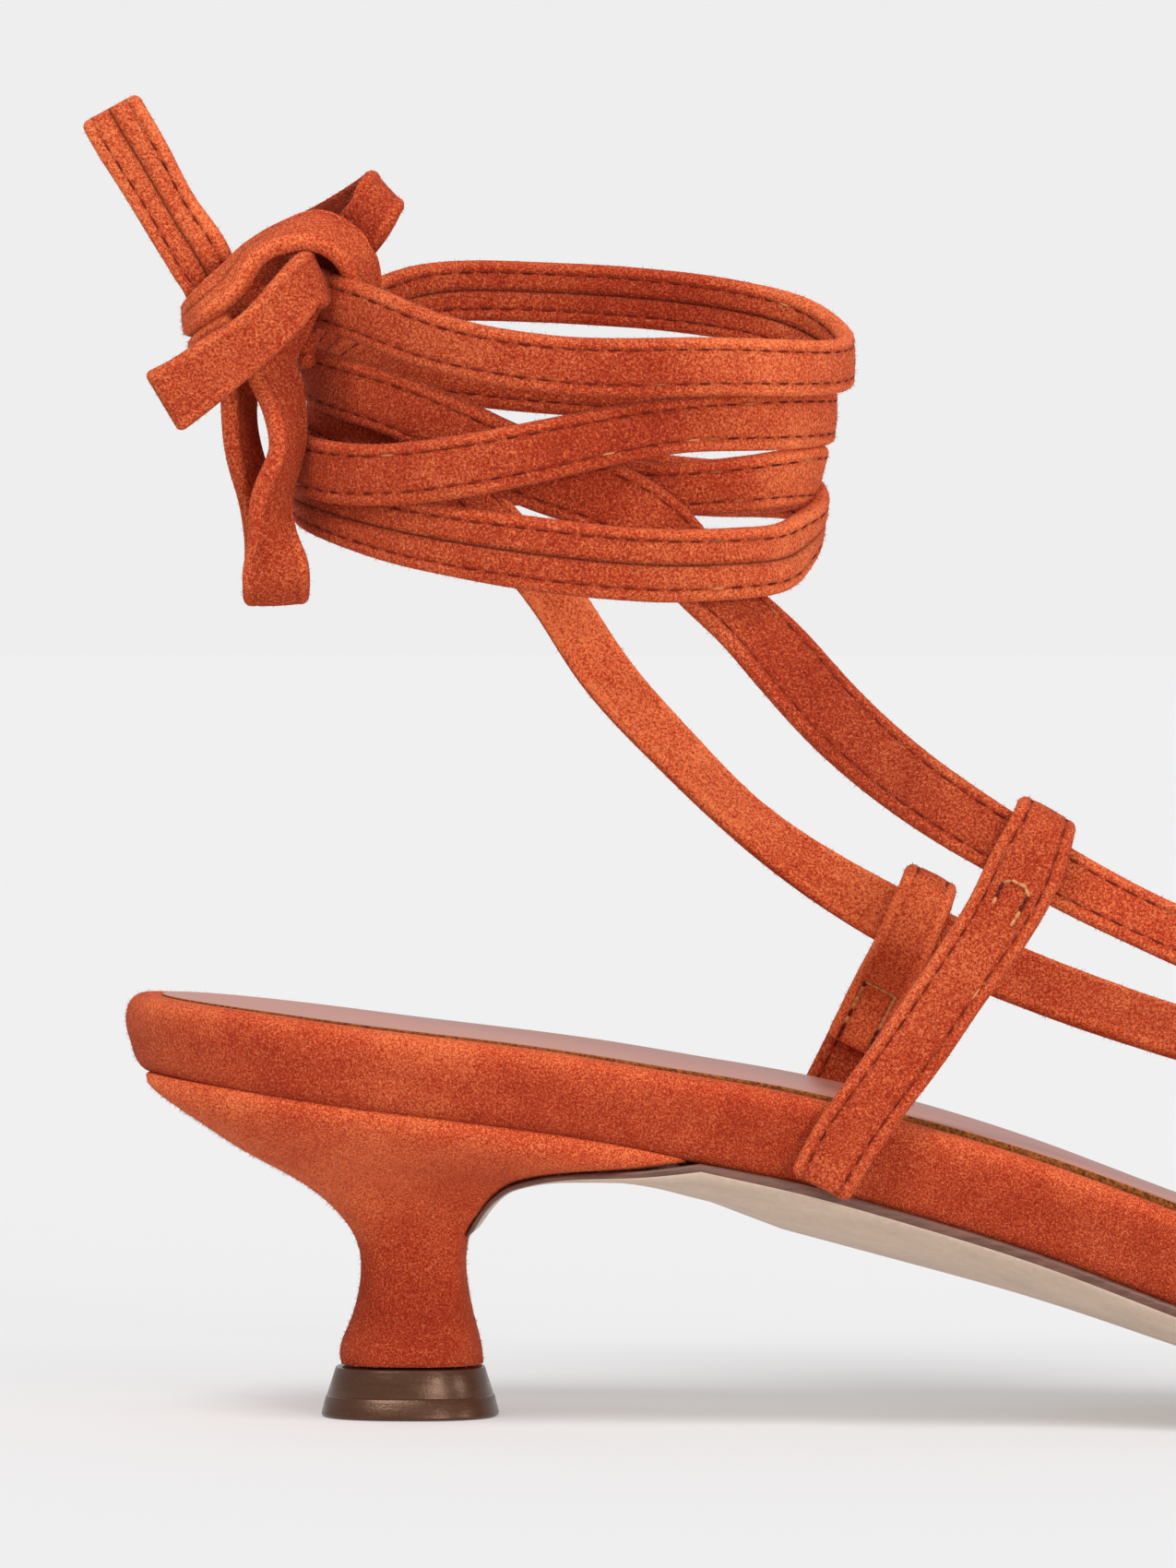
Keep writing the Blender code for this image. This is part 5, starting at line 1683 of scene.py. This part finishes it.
class SANDAL_OT_tie(bpy.types.Operator):
    """Both straps of the tie, from the toe post through the keepers and round the ankle"""
    bl_idname = "sandal.tie"
    bl_label = "Ankle tie"

    def execute(self, context):
        sizes = context.scene.sandal_sizes
        thick = sizes.strap_thick / MM
        pitch = sizes.stitch_pitch / MM
        for side, rows, wrap, seed in (
            ("medial", MEDIAL_STRAP_ROWS, MEDIAL_WRAP_ROWS, 17),
            ("lateral", LATERAL_STRAP_ROWS, LATERAL_WRAP_ROWS, 29),
        ):
            line = strap_line(list(rows) + wrap_points(wrap))
            low = np.clip((TIE_PLAIN[side] - line.along) / PLAIN_BLEND, 0.0, 1.0)
            sewn = (1.0, 1 - PLAIN_SHARE * low)
            bm = bmesh.new()
            seams, shade = self.seams(side, line), self.shade(side, line, low)
            wall = lay_strap(bm, line, thick, pitch, float(seed), seams, sewn, shade)
            finished("tie_" + side, bm, [tie_suede(context)], ["ankle_tie"])
            places = stitch_places(line, sizes, thick, sewn)
            sew_rows("tie_%s_stitching" % side, places, context, seed)
            fuzz("tie_%s_nap" % side, [wall], context, seed + 100)
        return {"FINISHED"}

    def seams(self, side, line):
        """Where the butt seam lies: inside on the medial strap, outside on the lowest turn of the other."""
        if side == "medial":
            return 0.0, 1.0
        low = np.all(line.centre[:, 1:] < LOW_TURN, axis=1) & (line.along > LOW_TURN_FROM)
        window = np.ones(LOW_TURN_EVENED) / LOW_TURN_EVENED
        return np.convolve(low.astype(float), window, mode="same"), 0.0

    def shade(self, side, line, plain):
        """Painted light and shade on the outer and the inner face."""
        outer = np.interp(line.along, OUTER_PAINTED_LIGHT_AT, OUTER_PAINTED_LIGHT[side])
        light = np.interp(line.along, INNER_PAINTED_LIGHT_AT, INNER_PAINTED_LIGHT)
        dark = INNER_PAINTED_SHADE * np.clip(line.centre[:, 1] / INNER_PAINTED_SHADE_OVER, 0.0, 1.0)
        bend = np.prod(np.clip((line.centre[:, ::2] - BEND_FROM) / BEND_OVER, 0.0, 1.0), axis=1)
        # Painted light on the plain inner face and painted shade on the rest behind the ankle; painted light
        # at the front bends
        inner = light * plain - dark * (1 - plain)
        return outer + BEND_PAINTED_LIGHT[0] * bend, inner + BEND_PAINTED_LIGHT[1] * bend


class SANDAL_OT_bow(bpy.types.Operator):
    """The tied bow: two lengths of strap with a loop and an end each, and the knot's wraps"""
    bl_idname = "sandal.bow"
    bl_label = "Bow"

    def execute(self, context):
        sizes = context.scene.sandal_sizes
        thick = sizes.strap_thick / MM
        pitch = sizes.stitch_pitch / MM
        suede = tie_suede(context)
        places, lines, walls = [], [], []
        for name, rows, nodes, seed, seams in (
            ("bow_upper", BOW_UPPER_ROWS, ["bow_loop_upper", "bow_end_upper"], 51.0, (0.0, 1.0)),
            ("bow_lower", BOW_LOWER_ROWS, ["bow_loop_lower", "bow_end_lower"], 63.0, (1.0, 0.0)),
        ):
            line = edge_line(rows, BOW_STEP)
            free = np.clip((line.along - line.along[-1] + BOW_SEWN[name]) / BOW_SEWN_BLEND, 0.0, 1.0)
            sewn = [BOW_FAINT + (1 - BOW_FAINT) * free] * 2
            seams = [seam * free for seam in seams]
            bm = bmesh.new()
            walls.append(lay_strap(bm, line, thick, pitch, seed, seams, sewn, self.shade(name, line)))
            piece = finished(name, bm, [suede], nodes)
            places += stitch_places(line, sizes, thick, sewn)
            lines.append((piece, line))
        bm = bmesh.new()
        for rows, seed in ((KNOT_OVER_ROWS, 71.0), (KNOT_UNDER_ROWS, 83.0)):
            line = edge_line(rows, BOW_STEP)
            fold = np.interp(line.along, KNOT_FOLD_AT, KNOT_FOLD)
            # The knot's wraps get painted light on both faces
            pairs = [(part, part) for part in (fold, KNOT_SEWN, KNOT_PAINTED_LIGHT)]
            walls.append(lay_strap(bm, line, thick, pitch, seed, *pairs))
        knot = finished("bow_knot_wraps", bm, [suede], ["bow_knot"])
        stitching = sew_rows("bow_stitching", places, context, seed=91)
        nap = fuzz("bow_nap", walls, context, seed=107)
        return {"FINISHED"}

    def shade(self, name, line):
        """Painted light and shade on both faces: painted shade in the upper loop's hollow and at its root,
        painted light at its end.
        """
        if name != "bow_upper":
            return 0.0, 0.0
        hollow = np.interp(line.along, LOOP_HOLLOW_AT, LOOP_HOLLOW_PAINTED_SHADE)
        front = line.face[:, 1] < 0
        root = np.interp(line.along, LOOP_ROOT_AT, LOOP_PAINTED_ROOT_SHADE_END_LIGHT)
        return hollow * front + root, hollow * ~front + root


class SANDAL_OT_stage(bpy.types.Operator):
    """Plain pale floor, soft light and the camera"""
    bl_idname = "sandal.stage"
    bl_label = "Stage"

    def execute(self, context):
        scene = context.scene
        colour = scene.sandal_colours.studio
        scene.view_settings.view_transform = "Standard"
        bm = bmesh.new()
        bmesh.ops.create_grid(bm, x_segments=1, y_segments=1, size=FLOOR_HALF)
        data = bpy.data.meshes.new("floor")
        bm.to_mesh(data)
        bm.free()
        floor = bpy.data.objects.new("floor", data)
        scene.collection.objects.link(floor)
        material = bpy.data.materials.new("floor_paper")
        material.use_nodes = True
        tree = material.node_tree
        shader = tree.nodes["Principled BSDF"]
        shader.inputs["Base Color"].default_value = (FLOOR_GREY, FLOOR_GREY, FLOOR_GREY, 1.0)
        shader.inputs["Roughness"].default_value = 1.0
        shader.inputs["Specular IOR Level"].default_value = 0.0
        shader.inputs["Emission Color"].default_value = (1.0, 1.0, 1.0, 1.0)
        shader.inputs["Emission Strength"].default_value = FLOOR_GLOW
        data.materials.append(material)

        world = bpy.data.worlds.new("studio")
        scene.world = world
        world.use_nodes = True
        tree = world.node_tree
        background = tree.nodes["Background"]
        background.inputs["Color"].default_value = colour
        seen = add_node(tree, "LightPath").outputs["Is Camera Ray"]
        strength = add_node(tree, "MapRange", Value=seen, i3=AMBIENT, i4=1.0)
        tree.links.new(strength.outputs["Result"], background.inputs["Strength"])

        for name, energy, angle, towards in LAMP_ROWS:
            lamp = bpy.data.lights.new(name, "SUN")
            lamp.energy = energy
            lamp.angle = math.radians(angle)
            light = bpy.data.objects.new(name, lamp)
            light.rotation_euler = Vector(towards).to_track_quat("-Z", "Y").to_euler()
            scene.collection.objects.link(light)

        lens = bpy.data.cameras.new("camera")
        lens.sensor_width = CAMERA_SENSOR
        lens.lens = CAMERA_LENS
        lens.clip_end = VIEW_END
        camera = bpy.data.objects.new("camera", lens)
        camera.location = place(CAMERA_SPOT)
        aim = place(CAMERA_AIM) - camera.location
        camera.rotation_euler = aim.to_track_quat("-Z", "Y").to_euler()
        scene.collection.objects.link(camera)
        scene.camera = camera
        return {"FINISHED"}


OPERATORS = (
    SANDAL_OT_stage,
    SANDAL_OT_bow,
    SANDAL_OT_tie,
    SANDAL_OT_keepers,
    SANDAL_OT_footbed,
    SANDAL_OT_insole,
    SANDAL_OT_outsole,
    SANDAL_OT_heel,
    SANDAL_OT_heel_tip,
)


class VIEW3D_PT_sandal(bpy.types.Panel):
    """The sandal's pieces, sizes and colours"""
    bl_label = "Kitten heel sandal"
    bl_idname = "VIEW3D_PT_sandal"
    bl_space_type = "VIEW_3D"
    bl_region_type = "UI"
    bl_category = "Sandal"

    def draw(self, context):
        for group in (context.scene.sandal_sizes, context.scene.sandal_colours):
            for name in group.bl_rna.properties.keys():
                if name not in ("rna_type", "name"):
                    self.layout.prop(group, name)
        for operator in OPERATORS:
            self.layout.operator(operator.bl_idname)


CLASSES = (SandalSizes, SandalColours) + OPERATORS + (VIEW3D_PT_sandal,)


def register():
    for item in CLASSES:
        bpy.utils.register_class(item)
    bpy.types.Scene.sandal_sizes = PointerProperty(type=SandalSizes)
    bpy.types.Scene.sandal_colours = PointerProperty(type=SandalColours)


def unregister():
    del bpy.types.Scene.sandal_colours
    del bpy.types.Scene.sandal_sizes
    for item in reversed(CLASSES):
        bpy.utils.unregister_class(item)


def main():
    register()
    for operator in OPERATORS:
        getattr(bpy.ops.sandal, operator.bl_idname.split(".")[1])()


if __name__ == "__main__":
    main()
